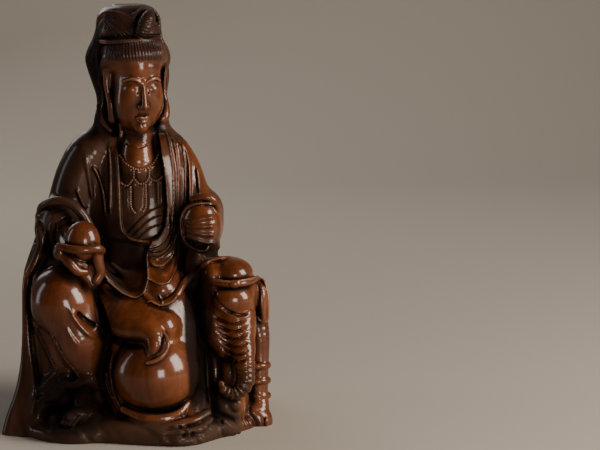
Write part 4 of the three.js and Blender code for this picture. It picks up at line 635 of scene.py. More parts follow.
def robe_front(block):
    # Three terraces of cloth at the right of the opening, the collar band uppermost
    inner = [[15.5, 186.5], [22.5, 190], [27, 196.5], [30, 209], [30.5, 223.5], [29.5, 242.5],
        [27, 262], [24, 281], [19.5, 299]]
    lowest = [[29, 307.5], [40, 295.5], [48.5, 271], [50.5, 242.5], [48.5, 209], [45, 180.5],
        [41.5, 163], [36.5, 156], [31, 150.5], [22, 149.5], [15.5, 152], [11.5, 155.5], [10.5, 171.5],
        [13.5, 180.5]]
    middle = [[27, 307.5], [34, 296], [41, 271], [43.5, 242.5], [42.5, 209], [40.5, 187.5], [37, 171],
        [30, 165], [22, 163.5], [13.5, 166.5], [13.5, 180.5]]
    band = [[26.5, 305.5], [30, 296], [35, 276], [38.5, 252], [39, 223.5], [38, 209], [36, 193],
        [31, 181.5], [24, 176], [14, 175.5], [13.5, 181]]
    for outer in [lowest, middle, band]:
        block.panel(inner + outer, 1.7, 1.1, FRONT)
        block.mark(outer[1:-1], 2.1, 1.2, FRONT, 0.06)
    block.mark([[40, 193], [37, 180.5], [31, 173.5], [22.5, 169.5], [13.5, 170.5]], 2, 1.5, FRONT, 0.08)
    block.mark([[40.5, 170], [36, 163], [28, 158.5], [19.5, 159]], 3.6, 1.2, FRONT, 0.25)
    # Rim of the left side of the opening
    block.mark([[-15.5, 292.5], [-16, 271], [-15, 246.5], [-14.5, 222.5], [-14, 201.5], [-11.5, 194],
        [-7, 189.5], [0, 187], [8, 186]], 2.2, 1.9, FRONT, 0.06)
    # The bowl of the left side over the lap, and its rolled edge
    bowl = [[-30, 186.5], [-16.5, 184.5], [-2.9, 183.5], [7, 183.5], [11.5, 179], [8.5, 170.5],
        [9.5, 162], [9, 154.5], [7, 148.5], [2.9, 142.5], [-3.9, 141.5], [-9.5, 143.5], [-16.5, 149],
        [-23, 156], [-30, 163.5], [-33, 173], [-34, 181.5]]
    block.panel(bowl, -6.5, 3, FRONT)
    block.mark([[14.5, 184.5], [12, 177], [10.5, 169.5], [11.5, 162], [11.5, 155.5], [10, 147.5],
        [6.5, 141], [1, 137], [-4.8, 137.5], [-11.5, 140.5], [-17.5, 145], [-24, 151], [-30, 158]],
        2.2, 2.2, FRONT, 0.06)
    # Scalloped hem below
    block.mark([[8.5, 131], [13.5, 134], [18, 132], [24, 130], [31.5, 132], [36.5, 135.5],
        [40, 140.5]], 2, 2, FRONT, 0.1)
    block.mark([[21, 140], [24, 135.5], [25, 131]], 1.6, 1, FRONT, 0.2)


def left_arm(block):
    block.bar([[66, 4, 206, 22], [64, -18, 197, 23], [62, -30, 195, 23]], 5, [1, 1, 1.1])
    block.bar([[67.5, -30, 172.5, 13], [59.5, -38, 166, 11], [55.5, -42, 156.5, 9],
        [53.5, -44, 145, 8]], 6)
    # The rolled mouth of the sleeve, with a fan of folds in its hollow
    block.egg([64, -40, 198.5], [19, 16, 26], 4)
    block.groove([[53, -50, 222, 1.4], [45, -52, 212.5, 1.8], [41.5, -54, 198, 2],
        [43, -54, 183.5, 1.8]], 2, [1, 5, 1])
    block.cut(ball([67.5, -62, 226], [10, 12, 3.6], [0, 0, -4]), 2)
    block.bar([[55.5, -42, 225.5, 3], [66, -46, 228.5, 3.6], [73.5, -46, 226.5, 4],
        [79, -42, 219.5, 4.2], [79, -38, 205.5, 4.2], [77, -36, 191, 4.2], [79, -32, 177.5, 4]], 2)
    block.mark([[77.5, 219.5], [68.5, 222.5], [59, 222], [52, 219], [46.5, 213], [44, 204.5],
        [44.5, 194.5], [47.5, 186.5], [53, 181], [61, 176.5], [68, 176.5], [70.5, 182.5]],
        2.3, 2.4, FRONT, 0.06)
    for k in range(4):
        block.mark([[77.5 + 0.1 * k, 209.5 - 8.4 * k], [67.5, 209 - 8.1 * k], [58, 207 - 6.2 * k],
            [47.5, 203.5 - 3.9 * k]], 3.4, 2.2, FRONT, 0.12)
    hollow = [[49, 187.5], [59, 185], [69, 182.5], [67.5, 178], [60, 178], [53, 182.5]]
    block.panel(hollow, -5, 1.2, FRONT)


def elephant(block):
    block.bar([[85, -30, 122, 33], [89, 10, 108, 38], [91, 50, 96, 38], [87, 66, 82, 32]], 6)
    block.egg([78.5, -4, 120.5], [38, 40, 41], 6)
    # Domed head, parted above the brow
    block.egg([88, -40, 130.5], [31.5, 32, 38], 4)
    block.egg([94, -50, 154], [20, 22, 15], 4)
    block.egg([74, -50, 152], [13, 20, 14], 4)
    block.egg([95, -58, 131], [20, 21, 18], 4)
    # Ears
    block.egg([66.5, -34, 113], [16, 16, 36], 2)
    block.bar([[118.5, -36, 141.5, 5], [122, -40, 133.5, 6.4], [122, -42, 121, 6.6],
        [123, -43, 108, 5]], 2, [1, 1.4, 1])
    block.bar([[119.5, -36, 146, 1.6], [125, -42, 143.5, 1.6], [128, -44, 134, 1.6],
        [128.5, -46, 119.5, 1.6], [127.5, -46, 105.5, 1.8], [121, -48, 105.5, 1.8],
        [118, -48, 109, 1.6]], 1)
    # Face and trunk, ringed, curling in at the tip
    block.bar([[94, -56, 121.5, 22], [97, -62, 107, 19.5], [99.5, -70, 93, 16],
        [102.5, -80, 81.5, 12], [104, -85, 68.5, 10], [104, -88, 55.5, 9.4], [99, -90, 47, 8],
        [91.5, -91, 44, 6.6], [83.5, -91, 47.5, 5.2], [80.5, -91, 53.5, 3.6]], 3, rings=[4.6, 0.8])
    block.bar([[75, -56, 113.5, 17], [78.5, -64, 99.5, 16], [86, -70, 86, 12]], 3)
    block.egg([92.5, -66, 130.5], [20, 15, 16], 2)
    block.mark([[73.5, 142.5], [78, 131.5], [87.5, 122.5], [101, 117.5], [110.5, 120]],
        2.4, -2, FRONT, 0.2)
    for k in range(6):
        block.mark([[71.5 + 2 * k, 118 - 6.9 * k], [82 + 1.4 * k, 112 - 7.3 * k],
            [94.5 + 0.8 * k, 109.5 - 7.1 * k], [111 - 0.5 * k, 115.5 - 6.9 * k]], 2.2, -2, FRONT, 0.25)
    # Legs, the outer fore leg with its bands, foot and nails
    block.bar([[114.5, -20, 108.5, 15], [120.5, -26, 86.5, 11], [121.5, -28, 69.5, 9.5],
        [120.5, -30, 50, 9.5], [120, -32, 27, 9.5], [119.5, -34, 17.5, 11]], 3)
    for k in range(3):
        block.bar([[110.5 + 0.1 * k, -33, 56.5 - 15.1 * k, 3.4],
            [116 + 0.2 * k, -38.5, 57.5 - 15.1 * k, 3.4], [123 + 0.2 * k, -38, 58 - 15.2 * k, 3.4],
            [129 + 0.1 * k, -32, 57.5 - 15.2 * k, 3.4]], 1.2)
    block.bar([[113.5, -38, 11.5, 10], [118.5, -38, 6.5, 11], [119.5, -38, -0.8, 11]], 3, [1.3, 1.2, 1])
    for k in range(4):
        block.egg([108 + 6.1 * k, -48 - 0.5 * k, 3.8 + 0.1 * k], [2.6, 2.6, 5], 0.6)
    block.bar([[76.5, -40, 94.5, 12], [75, -50, 74.5, 8], [76, -56, 56, 7.6], [75, -56, 43, 8]], 2)
    block.bar([[91, -50, 74.5, 10], [90, -62, 61.5, 8.5], [89.5, -64, 48, 8]], 2)
    for x in [73, 113]:
        block.bar([[x - 2, 66, 72, 20], [x, 71, 29, 15], [x, 70, -3, 14]], 6)
    block.bar([[85, 94, 112, 4], [90, 103, 96, 3], [92, 103, 74, 2.8], [91, 99, 56, 4.4]], 3)
    # Headband with its buckle
    block.bar([[59, -34, 138, 3], [67, -58, 146, 3], [76, -69, 148.5, 3], [87.5, -76, 148, 3],
        [101, -75, 148, 3], [111, -64, 148, 3], [119, -40, 145.5, 3]], 0.8, [1, 1, 1.1])
    block.bar([[59, -34, 140.5, 1.2], [66.5, -60.5, 149, 1.2], [76, -72, 151.5, 1.2],
        [87, -79, 151, 1.2], [100.5, -78, 151.5, 1.2], [111, -67, 151.5, 1.2],
        [119, -42, 148.5, 1.2]], 0.4)
    block.egg([94.5, -78.5, 148.5], [6, 3.4, 4], 0.6)
    # Cloth hem over the crown
    block.bar([[50, -40, 143.5, 2], [58.5, -50, 154, 2.2], [67, -56, 164, 2.4], [76.5, -54, 168, 2.4],
        [88.5, -50, 168, 2.4], [100, -46, 163, 2.4], [109.5, -40, 154, 2.4], [115.5, -32, 144, 2.4]], 1)


def on_shoulders(block):
    """A carving made round zero, sized, turned and set down at the head's place; its field is scaled by
    the least of the sizes."""
    return posed(lambda p: block.value(p / HEAD_SIZE) * min(HEAD_SIZE), HEAD, HEAD_TURN, HEAD_REACH)


def sideways(stations, share):
    """Stations with x multiplied: mirrored by a share below zero."""
    return [[share * x, *rest] for x, *rest in stations]


def carved_head():
    """The head without its hair, made round zero."""
    block = Block()
    # Skull, face, chin and brow
    block.egg([0, 5, 12], [28, 30, 34])
    block.egg([0, -8, -5], [25, 25, 33.5], 6)
    block.egg([0, -19, -29], [12, 11, 10.5], 8)
    block.egg([0, -12, 18], [22.5, 20, 17], 6)
    # Nose, point of the chin and lips
    block.bar([[0, -31, 8, 2], [0, -35, -3, 2.5], [0, -39, -12, 3.3]], 3)
    block.egg([0, -28.5, -33], [6.5, 5, 5], 5)
    block.bar([[-6.6, -31.8, -23.8, 0.9], [-3, -34.2, -22.8, 1.7], [0, -34.6, -23.4, 1.6],
        [3, -34.2, -22.8, 1.7], [6.6, -31.8, -23.8, 0.9]], 1)
    block.bar([[-5.4, -31.8, -25.6, 0.8], [0, -33.6, -27, 2.2], [5.4, -31.8, -25.6, 0.8]], 1)
    block.groove([[-7.4, -32.4, -24, 0.35], [-3, -36.2, -24.8, 0.4], [0, -36.6, -25.3, 0.4],
        [3, -36.2, -24.8, 0.4], [7.4, -32.4, -24, 0.35]], 0.8)
    # Cheek, eyebrow, eye with its slit and crease, nostril and long ear on each side
    for side in [-1, 1]:
        block.egg([12 * side, -16.5, -13], [13, 12.5, 17], 8)
        block.egg([10 * side, -13, -24], [11, 11, 10], 8)
        brow = [[3.4, -32, 6.5, 0.9], [8, -32.3, 9.6, 1.1], [14.5, -29.6, 10.2, 1], [20.5, -24, 7, 0.7]]
        block.bar(sideways(brow, side), 4)
        block.cut(ball([10.8 * side, -38, 3], [9.8, 7, 5]), 3)
        block.egg([10.6 * side, -24.4, 0.4], [8.2, 7, 4.8], 1.6)
        slit = [[3.2, -30.6, -1.2, 0.3], [7, -32.2, -2.6, 0.4], [11, -32.2, -3, 0.4],
            [15, -30.4, -2.3, 0.4], [19, -26.2, -0.6, 0.3]]
        block.groove(sideways(slit, side), 0.6)
        crease = [[4, -31, 3, 0.3], [8, -32, 4.8, 0.35], [12.5, -31, 5, 0.35], [17, -27.8, 3.6, 0.3],
            [20, -24.4, 1.4, 0.25]]
        block.groove(sideways(crease, side), 1)
        block.egg([3.9 * side, -35, -13], [2.7, 3.4, 2.4], 1.5)
        ear = [[29, -5, 15, 3], [32.5, -3, 13, 3.2], [33.5, -3, 4, 3.2], [31.5, -5, -7, 3],
            [29, -8, -16, 4], [27, -9, -29, 4.4]]
        block.bar(sideways(ear, side), 2)
        block.egg([29.5 * side, -2, 2], [4, 5, 14], 2)
        block.groove(sideways([[30, -8, 11, 1.4], [31, -8, 2, 1.6], [29, -10, -8, 1.2]], side), 1.2)
    return block


def head_and_neck(block):
    block.bar([[2, -14, 256, 18], [2.9, -13, 269, 15.5], [2.9, -9, 280, 14.5], [2.9, -6, 293.5, 15]], 6)
    block.add(on_shoulders(carved_head()), 2.5)
    block.mark([[-9.5, 279], [2.9, 274], [15.5, 278]], 1.6, -0.8, [-60, 0])


def hair():
    """A soft roll of hair round the brow, down to the ears, and the hair over the crown."""
    block = Block()
    roll = [[30, 7, 0, 3], [31, 2, 12, 3.4], [29.5, -6, 21, 3.8], [24, -15.5, 27, 4.2],
        [13.5, -23.5, 29.5, 4.4], [0, -26.5, 30.3, 4.4]]
    block.bar(roll + sideways(roll[-2::-1], -1.2))
    block.egg([-2, 2, 26], [35, 31, 23], 5)
    return block


def veil(block):
    block.add(loft([[264, -1, 10, 49.5, 16, 30], [280.5, -2, 10, 40.6, 20, 30],
        [291.5, -2.7, 10, 36.3, 22, 30], [300.5, -2.2, 10, 36.3, 24, 31],
        [310.5, -2.2, 11, 33.8, 26, 32], [322, -2.7, 12, 33.8, 28, 33], [335, -3.9, 12, 36.5, 29, 34],
        [347, -4.9, 12, 39.4, 30, 35], [358, -4.9, 12, 41.8, 31, 36], [367.5, -4.7, 12, 39.6, 32, 36],
        [376.5, -4.9, 11, 34.9, 33, 35], [386.5, -4.2, 10, 32.2, 33, 33],
        [395.5, -3.9, 9, 31.4, 33, 31], [402.5, -4.4, 8, 28.9, 31, 28], [408, -3.9, 7, 23.5, 24, 24],
        [411, -2.9, 7, 14.7, 16, 16]], 2.8), 7)
    hollow = loft([[284.5, 0, -20, 22.4, 40, 16], [297, -0.5, -20, 27.8, 40, 26],
        [307, 0, -20, 28.2, 40, 27], [318.5, -0.2, -20, 28, 40, 28], [333.5, -0.5, -20, 28.7, 40, 27],
        [348, -0.5, -20, 29.6, 40, 27], [360.5, -0.2, -20, 30.3, 40, 28],
        [370.5, -0.7, -20, 29.8, 40, 30], [379, -2.2, -20, 28.3, 40, 32],
        [388.5, -3.9, -20, 28.6, 40, 31], [397.5, -4.1, -20, 26.9, 40, 27],
        [403, -3.4, -20, 22.7, 36, 16], [407, -2.9, -20, 15.5, 32, 6]], 2.4)
    block.cut(hollow, 2)
    # Ends of the veil beside the neck, and a soft rolled edge
    block.bar([[-33, -12, 314, 3], [-31.5, -13, 304, 3.4], [-27.5, -15, 296.5, 3.2],
        [-22.5, -17, 291, 2.4]], 4)
    block.bar([[-13.5, -18, 297, 1.6], [-11.5, -20, 291.5, 2.2], [-12.5, -21, 285.5, 1.6]], 2)
    block.bar([[30.5, -12, 322, 2.5], [31, -16, 312.5, 4], [30, -20, 305, 5],
        [27.5, -22, 301.5, 4.2]], 2)
    edge = [[-30.5, -13, 314, 2], [-29.5, -13, 326, 2], [-30.5, -13, 337.5, 2], [-32, -13, 349.5, 2],
        [-32.5, -13, 360, 2], [-32.5, -13, 370.5, 2], [-31.5, -13, 380.5, 2], [-33, -13, 391, 2.1],
        [-31.5, -14, 400, 2.1], [-26, -18, 404.5, 2], [-16.5, -23, 404.5, 2], [-7, -26, 401, 1.9],
        [-1, -26, 400, 1.9], [3.9, -26, 404.5, 1.9], [11.5, -23, 409, 1.9], [18.5, -18, 407.5, 2],
        [24.5, -14, 400, 2.1], [25.5, -13, 390, 2.1], [26.5, -13, 380.5, 2.1],
        [30.5, -13, 370.5, 2.2], [32.5, -13, 360, 2.2], [31, -13, 347.5, 2], [29.5, -13, 333.5, 2],
        [29.5, -13, 320, 2]]
    block.bar(edge, 2.5)


def knot(block):
    block.egg([-3.9, -12, 387], [30, 22, 14], 3)
    block.egg([-4.9, -9, 394.5], [27, 21, 14], 4)
    block.bar([[5.8, -33, 382, 4], [10.5, -35, 391, 7.5], [14.5, -32, 398.5, 7.5],
        [15.5, -26, 402.5, 6]], 2, [1, 1.2, 1])
    # Hairband
    block.bar([[-31, -22, 377.5, 1.5], [-22, -33, 377.5, 1.7], [-8.5, -39, 378.5, 1.8],
        [5.8, -38, 379, 1.8], [17.5, -30, 379, 1.7], [24, -20, 378, 1.5]], 0.8, [1, 1, 1.3])


# Strings of the necklace, [x, z]: the collar, the upper cells and the strings below them; each lies in a
# shallow groove as deep as a bead's radius
BEAD_RADIUS = 1.2
STRING_GROOVE = 3.6
NECKLACE = [[[-13.6, 266], [-8.8, 260], [-1.9, 255.5], [5.8, 253.5], [14.6, 255.8], [21.4, 262.5],
    [24.8, 269]], [[-0.5, 254], [-0.7, 244.5]], [[14.1, 254], [14.1, 245]], [[-13, 239.5],
    [-8.7, 236.5], [-4.9, 238.5], [-0.7, 244.5], [2.9, 240], [6.8, 238.5], [11.2, 240.5], [14.1, 245],
    [17.5, 242], [22.3, 241.5], [27, 245]], [[-3.9, 235.5], [-3.6, 217], [0, 211]], [[10.7, 237.5],
    [10.7, 217], [7.8, 212]], [[22.8, 239.5], [22.8, 220]]]


def combed(p):
    """Strands of the fringe: a sine of the turn round the head's upright axis, faded at the roots and
    ends."""
    turn = np.arctan2(p[:, 0] - HEAD[0], HEAD[1] - p[:, 1])
    strand = np.sin(72 * turn + 0.25 * (p[:, 2] - 370)) + 0.4 * np.sin(31 * turn)
    return 0.2 * strand * ease((p[:, 2] - 357) / 6) * ease((380 - p[:, 2]) / 3)


def swirled(p):
    """Strands of the knot: a sine across lines that lean to the right and curve upwards."""
    x, z = p[:, 0] - 2, p[:, 2] - 380
    across = 0.5 * x + 0.86 * z - 0.012 * x**2
    return 0.22 * (np.sin(2.2 * across) + 0.6 * np.sin(0.9 * across)) * ease(z / 3) * ease((25 - z) / 4)


def figure():
    """The whole carving; a later step joins or cuts what the earlier ones left."""
    block = Block()
    for part in [rock_base, back_drape, torso, lap, robe_front, right_leg, right_arm, elephant, left_arm,
            veil, knot]:
        part(block)
    block.add(on_shoulders(hair()), 1)
    head_and_neck(block)
    block.relief(combed, [-27, -60, 357], [30, -8, 381])
    block.relief(swirled, [-27, -60, 380], [29, -8, 405])
    for line in NECKLACE:
        block.mark(line, STRING_GROOVE, -BEAD_RADIUS, [-60, 0], 0.03)
    return block


# Pieces

STRAY = 0.1
PLANE_GAP = 0.01


def set_up(name, mesh, material):
    """Makes the piece of a mesh and says what it belongs to."""
    mesh.materials.append(material)
    piece = bpy.data.objects.new(name, mesh)
    bpy.context.collection.objects.link(piece)
    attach(piece, "root")
    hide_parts(NODE)


def mesh_piece(name, field, vertices, faces, normals, values, material):
    """One closed piece: the skin's faces, level caps where a patch was parted from the rest, and its
    values."""
    mesh = bpy.data.meshes.new(name)
    mesh.vertices.add(len(vertices))
    mesh.vertices.foreach_set("co", (vertices * MM).astype(np.float32).ravel())
    mesh.loops.add(faces.size)
    mesh.loops.foreach_set("vertex_index", faces.astype(np.int32).ravel())
    mesh.polygons.add(len(faces))
    mesh.polygons.foreach_set("loop_start", np.arange(0, faces.size, faces.shape[1], dtype=np.int32))
    mesh.update(calc_edges=True)
    close_openings(mesh, field)
    mesh.polygons.foreach_set("use_smooth", np.ones(len(mesh.polygons), bool))
    for key, value in values.items():
        mesh.attributes.new(key, "FLOAT", "POINT").data.foreach_set("value", value.astype(np.float32))
    corners = np.empty(len(mesh.loops), np.int32)
    mesh.loops.foreach_get("vertex_index", corners)
    loop_normals = normals[corners]
    if len(corners) > faces.size:
        caps = mesh.polygons[len(faces):]
        rows = np.array([[loop, *cap.normal] for cap in caps for loop in cap.loop_indices])
        loop_normals[rows[:, 0].astype(int)] = rows[:, 1:]
    mesh.normals_split_custom_set(loop_normals)
    set_up(name, mesh, material)


def close_openings(mesh, field):
    """Fills the loops where a patch was parted, facing away from the patch. Caps whose middle is more than
    STRAY mm outside the wood go again."""
    work = bmesh.new()
    work.from_mesh(mesh)
    open_edges = [edge for edge in work.edges if edge.is_boundary]
    if open_edges:
        for part in parted(open_edges):
            height = sum(edge.verts[0].co.z for edge in part) / len(part)
            top = height > sum(edge.link_faces[0].calc_center_median().z for edge in part) / len(part)
            made = bmesh.ops.triangle_fill(work, edges=part, use_beauty=False, normal=(0, 0, 1))
            caps = [face for face in made["geom"] if isinstance(face, bmesh.types.BMFace)]
            for face in caps:
                face.normal_update()
            wrong = [face for face in caps if (face.normal.z > 0) != top]
            bmesh.ops.reverse_faces(work, faces=wrong)
            centres = np.array([face.calc_center_median()[:] for face in caps]) / MM - SHIFT
            stray = [face for face, away in zip(caps, field(centres)) if away > STRAY]
            bmesh.ops.delete(work, geom=stray, context="FACES_ONLY")
        work.to_mesh(mesh)
        mesh.update()
    work.free()


def parted(edges):
    """Open edges by the height of the plane that they lie near; planes are more than PLANE_GAP m apart."""
    edges = sorted(edges, key=lambda edge: edge.verts[0].co.z)
    parts = [[edges[0]]]
    for edge in edges[1:]:
        if edge.verts[0].co.z - parts[-1][-1].verts[0].co.z > PLANE_GAP:
            parts.append([])
        parts[-1].append(edge)
    return parts


def carve(name, field, lo, hi, cell, material, shades):
    """A skin in patches of about equal size from the ground up, with the field's own normals and its
    shades. Each vertex is moved onto the field's zero, by less than half a cell."""
    vertices, quads, layers = net(field, lo, hi, cell)
    normals = slopes(field, vertices)
    off = np.clip(field(vertices), -0.4 * cell, 0.4 * cell)
    vertices = vertices - off[:, None] * normals
    normals = slopes(field, vertices)
    values = {key: shade(field, vertices, normals) for key, shade in shades.items()}
    vertices = vertices + SHIFT
    height = layers[quads].min(1)
    parts = math.ceil(len(quads) / PATCH_QUADS)
    limits = np.floor(np.quantile(height, np.linspace(0, 1, parts + 1)))
    limits[-1] += 1
    for part in range(parts):
        chosen = quads[(height >= limits[part]) & (height < limits[part + 1])]
        used, faces = np.unique(chosen, return_inverse=True)
        kept = {key: value[used] for key, value in values.items()}
        label = name if parts == 1 else f"{name}_{part + 1}"
        mesh_piece(label, field, vertices[used], faces.reshape(chosen.shape), normals[used], kept, material)


# Parts polished by handling: middle and reach of each
POLISHED = [
    [16, -84, 60, 64], [-72, -58, 131, 50], [-54, -66, 92, 36], [14, -80, 112, 36], [36, -60, 128, 46],
    [90, -46, 131, 50], [100, -70, 90, 34], [117, -34, 56, 58], [-50, -77, 188, 27], [2, -30, 325, 40],
    [3, -24, 279, 26], [-50, -80, 172, 24], [56, -10, 250, 30], [66, -30, 212, 30],
]
# Places painted dark for the shade that falls there: middle, reach along x, y and z, and how dark
PAINTED_SHADE_PLACES = [
    [57, -60, 90, 13, 70, 95, 0.85], [-62, -70, 34, 46, 70, 36, 0.7], [-14, -50, 168, 24, 50, 50, 0.6],
    [66, -40, 122, 14, 60, 50, 0.7], [-40, -10, 340, 12, 34, 66, 0.75], [-92, -30, 90, 18, 60, 120, 0.5],
]


def hollow_and_shade_near(field, p, normals):
    """How closed in a place is, over 4, 12 and 30 mm: 1 less the share of that way that is free in front,
    raised in the places of painted shade. It darkens the wood: patina in the tightest hollows, painted shade
    in the wider ones and in those places.
    """
    near = np.clip(1 - field(p + 4 * normals) / 4, 0, 1)
    wide = np.clip(1 - field(p + 12 * normals) / 12, 0, 1)
    far = np.clip(1 - field(p + 30 * normals) / 30, 0, 1)
    closed = 0.5 * near + 0.45 * wide + 0.4 * far
    for x, y, z, across, deep, high, dark in PAINTED_SHADE_PLACES:
        away = np.linalg.norm((p - [x, y, z]) / [across, deep, high], axis=1)
        closed = np.maximum(closed, dark * np.clip((1.2 - away) / 0.4, 0, 1))
    return np.clip(closed, 0, 1)


def wear_and_glint_near(field, p, normals):
    """How sharply a place juts out: 1 less the share of 3 mm that is wood behind it. Edges are made paler by
    it, part wear and part painted highlight.
    """
    return np.clip(1 + field(p - 3 * normals) / 3, 0, 1)


def rock_here(field, p, normals):
    """Where the rough rock and bark are: the foot of the block, the strip beside the knee, behind the
    trunk."""
    x, y, z = p.T
    foot = np.clip((25 - z) / 6, 0, 1) * np.clip((x + 96) / 8, 0, 1) * np.clip((104 - x) / 8, 0, 1)
    strip = np.clip(1.6 - np.abs(x - 66) / 5, 0, 1) * np.clip((118 - z) / 10, 0, 1)
    behind = np.clip((x - 66) / 6, 0, 1) * np.clip((100 - x) / 6, 0, 1) * np.clip((44 - z) / 8, 0, 1)
    return np.maximum(foot, np.maximum(strip, behind) * np.clip((-24 - y) / 8, 0, 1))


def hair_here(field, p, normals):
    """Where the combed hair is: the fringe and the knot inside the hood."""
    x, y, z = p.T
    return np.clip((z - 359) / 3, 0, 1) * np.clip(14 - np.abs(x - 1) / 2, 0, 1) * np.clip((2 - y) / 6, 0, 1)


def polished_here(field, p, normals):
    """How much a place was handled: 1 within three quarters of the reach of a polished part, 0 from five
    quarters."""
    polish = np.zeros(len(p))
    for x, y, z, reach in POLISHED:
        away = np.linalg.norm(p - [x, y, z], axis=1) / reach
        polish = np.maximum(polish, np.clip((1.25 - away) / 0.5, 0, 1))
    return polish


SHADES = {
    "polished": polished_here, "hollow": hollow_and_shade_near, "worn": wear_and_glint_near, "rock": rock_here,
    "hair": hair_here,
}


# Necklace

def skin_from_front(field, line):
    """Where lines along +Y through places [x, z] first meet the wood, and the normals there."""
    depth = np.arange(-90, 10, 0.5)
    x, z = [np.repeat(v, len(depth)) for v in line.T]
    value = field(np.stack([x, np.tile(depth, len(line)), z], 1)).reshape(len(line), -1)
    rows = np.arange(len(line))
    first = (value < 0).argmax(1)
    before, after = value[rows, first - 1], value[rows, first]
    y = depth[first - 1] + 0.5 * before / (before - after)
    places = np.stack([line[:, 0], y, line[:, 1]], 1)
    return places, slopes(field, places)


def evenly(points, gap):
    """Places about a gap apart along a smooth line."""
    rows = spline(points, 8)
    run = np.concatenate([[0], np.cumsum(np.hypot(*np.diff(rows, axis=0).T))])
    at = np.linspace(0, run[-1], round(run[-1] / gap) + 1)
    return np.stack([np.interp(at, run, rows[:, i]) for i in (0, 1)], 1)


def beads(name, field, lines, radius, material):
    """Balls strung along lines on the skin, their middles 0.4 of the radius above it. Each ball is rings
    from pole to pole."""
    around, rings = 8, 6
    turn = np.arange(around) * 2 * np.pi / around
    fall = np.linspace(0, np.pi, rings)[:, None]
    level = np.cos(fall) + 0 * turn
    ball_points = np.stack([np.sin(fall) * np.cos(turn), np.sin(fall) * np.sin(turn), level], -1)
    ids = np.arange(rings * around).reshape(rings, around)
    after = np.roll(ids, -1, 1)
    faces = np.stack([ids[:-1], ids[1:], after[1:], after[:-1]], -1).reshape(-1, 4)
    line = np.vstack([evenly(line, 2 * radius) for line in lines])
    places, normals = skin_from_front(field, line)
    centres = places + 0.4 * radius * normals + SHIFT
    points = (centres[:, None] + radius * ball_points.reshape(1, -1, 3)).reshape(-1, 3)
    all_faces = (faces[None] + np.arange(len(line))[:, None, None] * rings * around).reshape(-1, 4)
    mesh = bpy.data.meshes.new(name)
    mesh.from_pydata((points * MM).tolist(), [], all_faces.tolist())
    work = bmesh.new()
    work.from_mesh(mesh)
    bmesh.ops.remove_doubles(work, verts=work.verts, dist=0.00001)
    work.to_mesh(mesh)
    work.free()
    mesh.polygons.foreach_set("use_smooth", np.ones(len(mesh.polygons), bool))
    # Every bead takes the pale edge colour in full, as a painted highlight
    worn = mesh.attributes.new("worn", "FLOAT", "POINT")
    worn.data.foreach_set("value", np.ones(len(mesh.vertices), np.float32))
    set_up(name, mesh, material)


# Materials

class Value:
    """A node's output as a number, so that shader maths reads as sums."""

    def __init__(self, shader, socket):
        self.shader = shader
        self.socket = socket

    def maths(self, operation, other):
        return self.shader.node("ShaderNodeMath", {"operation": operation}, {0: self, 1: other})

    def __add__(self, other):
        return self.maths("ADD", other)

    def __rsub__(self, other):
        return self.shader.node("ShaderNodeMath", {"operation": "SUBTRACT"}, {0: other, 1: self})

    def __mul__(self, other):
        return self.maths("MULTIPLY", other)

    __radd__ = __add__
    __rmul__ = __mul__

    def clamped(self):
        return self.shader.node("ShaderNodeClamp", {}, {"Value": self})

    def between(self, low, high):
        """0 below low, 1 above high, with eased ends."""
        settings = {"interpolation_type": "SMOOTHSTEP"}
        ends = {"Value": self, "From Min": low, "From Max": high}
        return self.shader.node("ShaderNodeMapRange", settings, ends)


class Shader:
    """A material and its nodes."""

    def __init__(self, name):
        self.material = bpy.data.materials.new(name)
        self.material.use_nodes = True
        self.nodes = self.material.node_tree.nodes
        self.links = self.material.node_tree.links
        self.surface = self.nodes["Principled BSDF"]

    def node(self, kind, settings=None, inputs=None, output=0):
        """Adds a node: its settings first, then a value or a link for each socket named."""
        made = self.nodes.new(kind)
        for key, value in (settings or {}).items():
            setattr(made, key, value)
        for key, value in (inputs or {}).items():
            self.feed(made.inputs[key], value)
        return Value(self, made.outputs[output])

    def feed(self, socket, value):
        if isinstance(value, Value):
            self.links.new(value.socket, socket)
        else:
            socket.default_value = value

    def mixed(self, factor, a, b):
        """One colour turning into another; the node's colour sockets are inputs 6 and 7 and output 2."""
        return self.node("ShaderNodeMix", {"data_type": "RGBA"}, {"Factor": factor, 6: a, 7: b}, 2)

    def noise(self, place, scale, detail):
        return self.node("ShaderNodeTexNoise", {}, {"Vector": place, "Scale": scale, "Detail": detail})

    def attribute(self, name):
        return self.node("ShaderNodeAttribute", {"attribute_name": name}, output="Fac")

    def set(self, **inputs):
        for key, value in inputs.items():
            self.feed(self.surface.inputs[key.replace("_", " ")], value)


DEEP_RED = (0.056, 0.0135, 0.0036, 1)
ORANGE_BROWN = (0.118, 0.0320, 0.0095, 1)
GRAIN_LINE = (0.030, 0.008, 0.002, 1)
AMBER = (0.17, 0.050, 0.015, 1)
RUBBED_AND_GLINT = (0.24, 0.105, 0.055, 1)
DULL_DARK = (0.026, 0.0110, 0.0062, 1)
DULL_BROWN = (0.056, 0.0230, 0.0128, 1)
DULL_RUBBED_AND_GLINT = (0.23, 0.115, 0.070, 1)
NEAR_BLACK_IN_HOOD = (0.024, 0.011, 0.008, 1)
ROCK_BROWN = (0.040, 0.022, 0.014, 1)
NEAR_BLACK = (0.004, 0.002, 0.0015, 1)


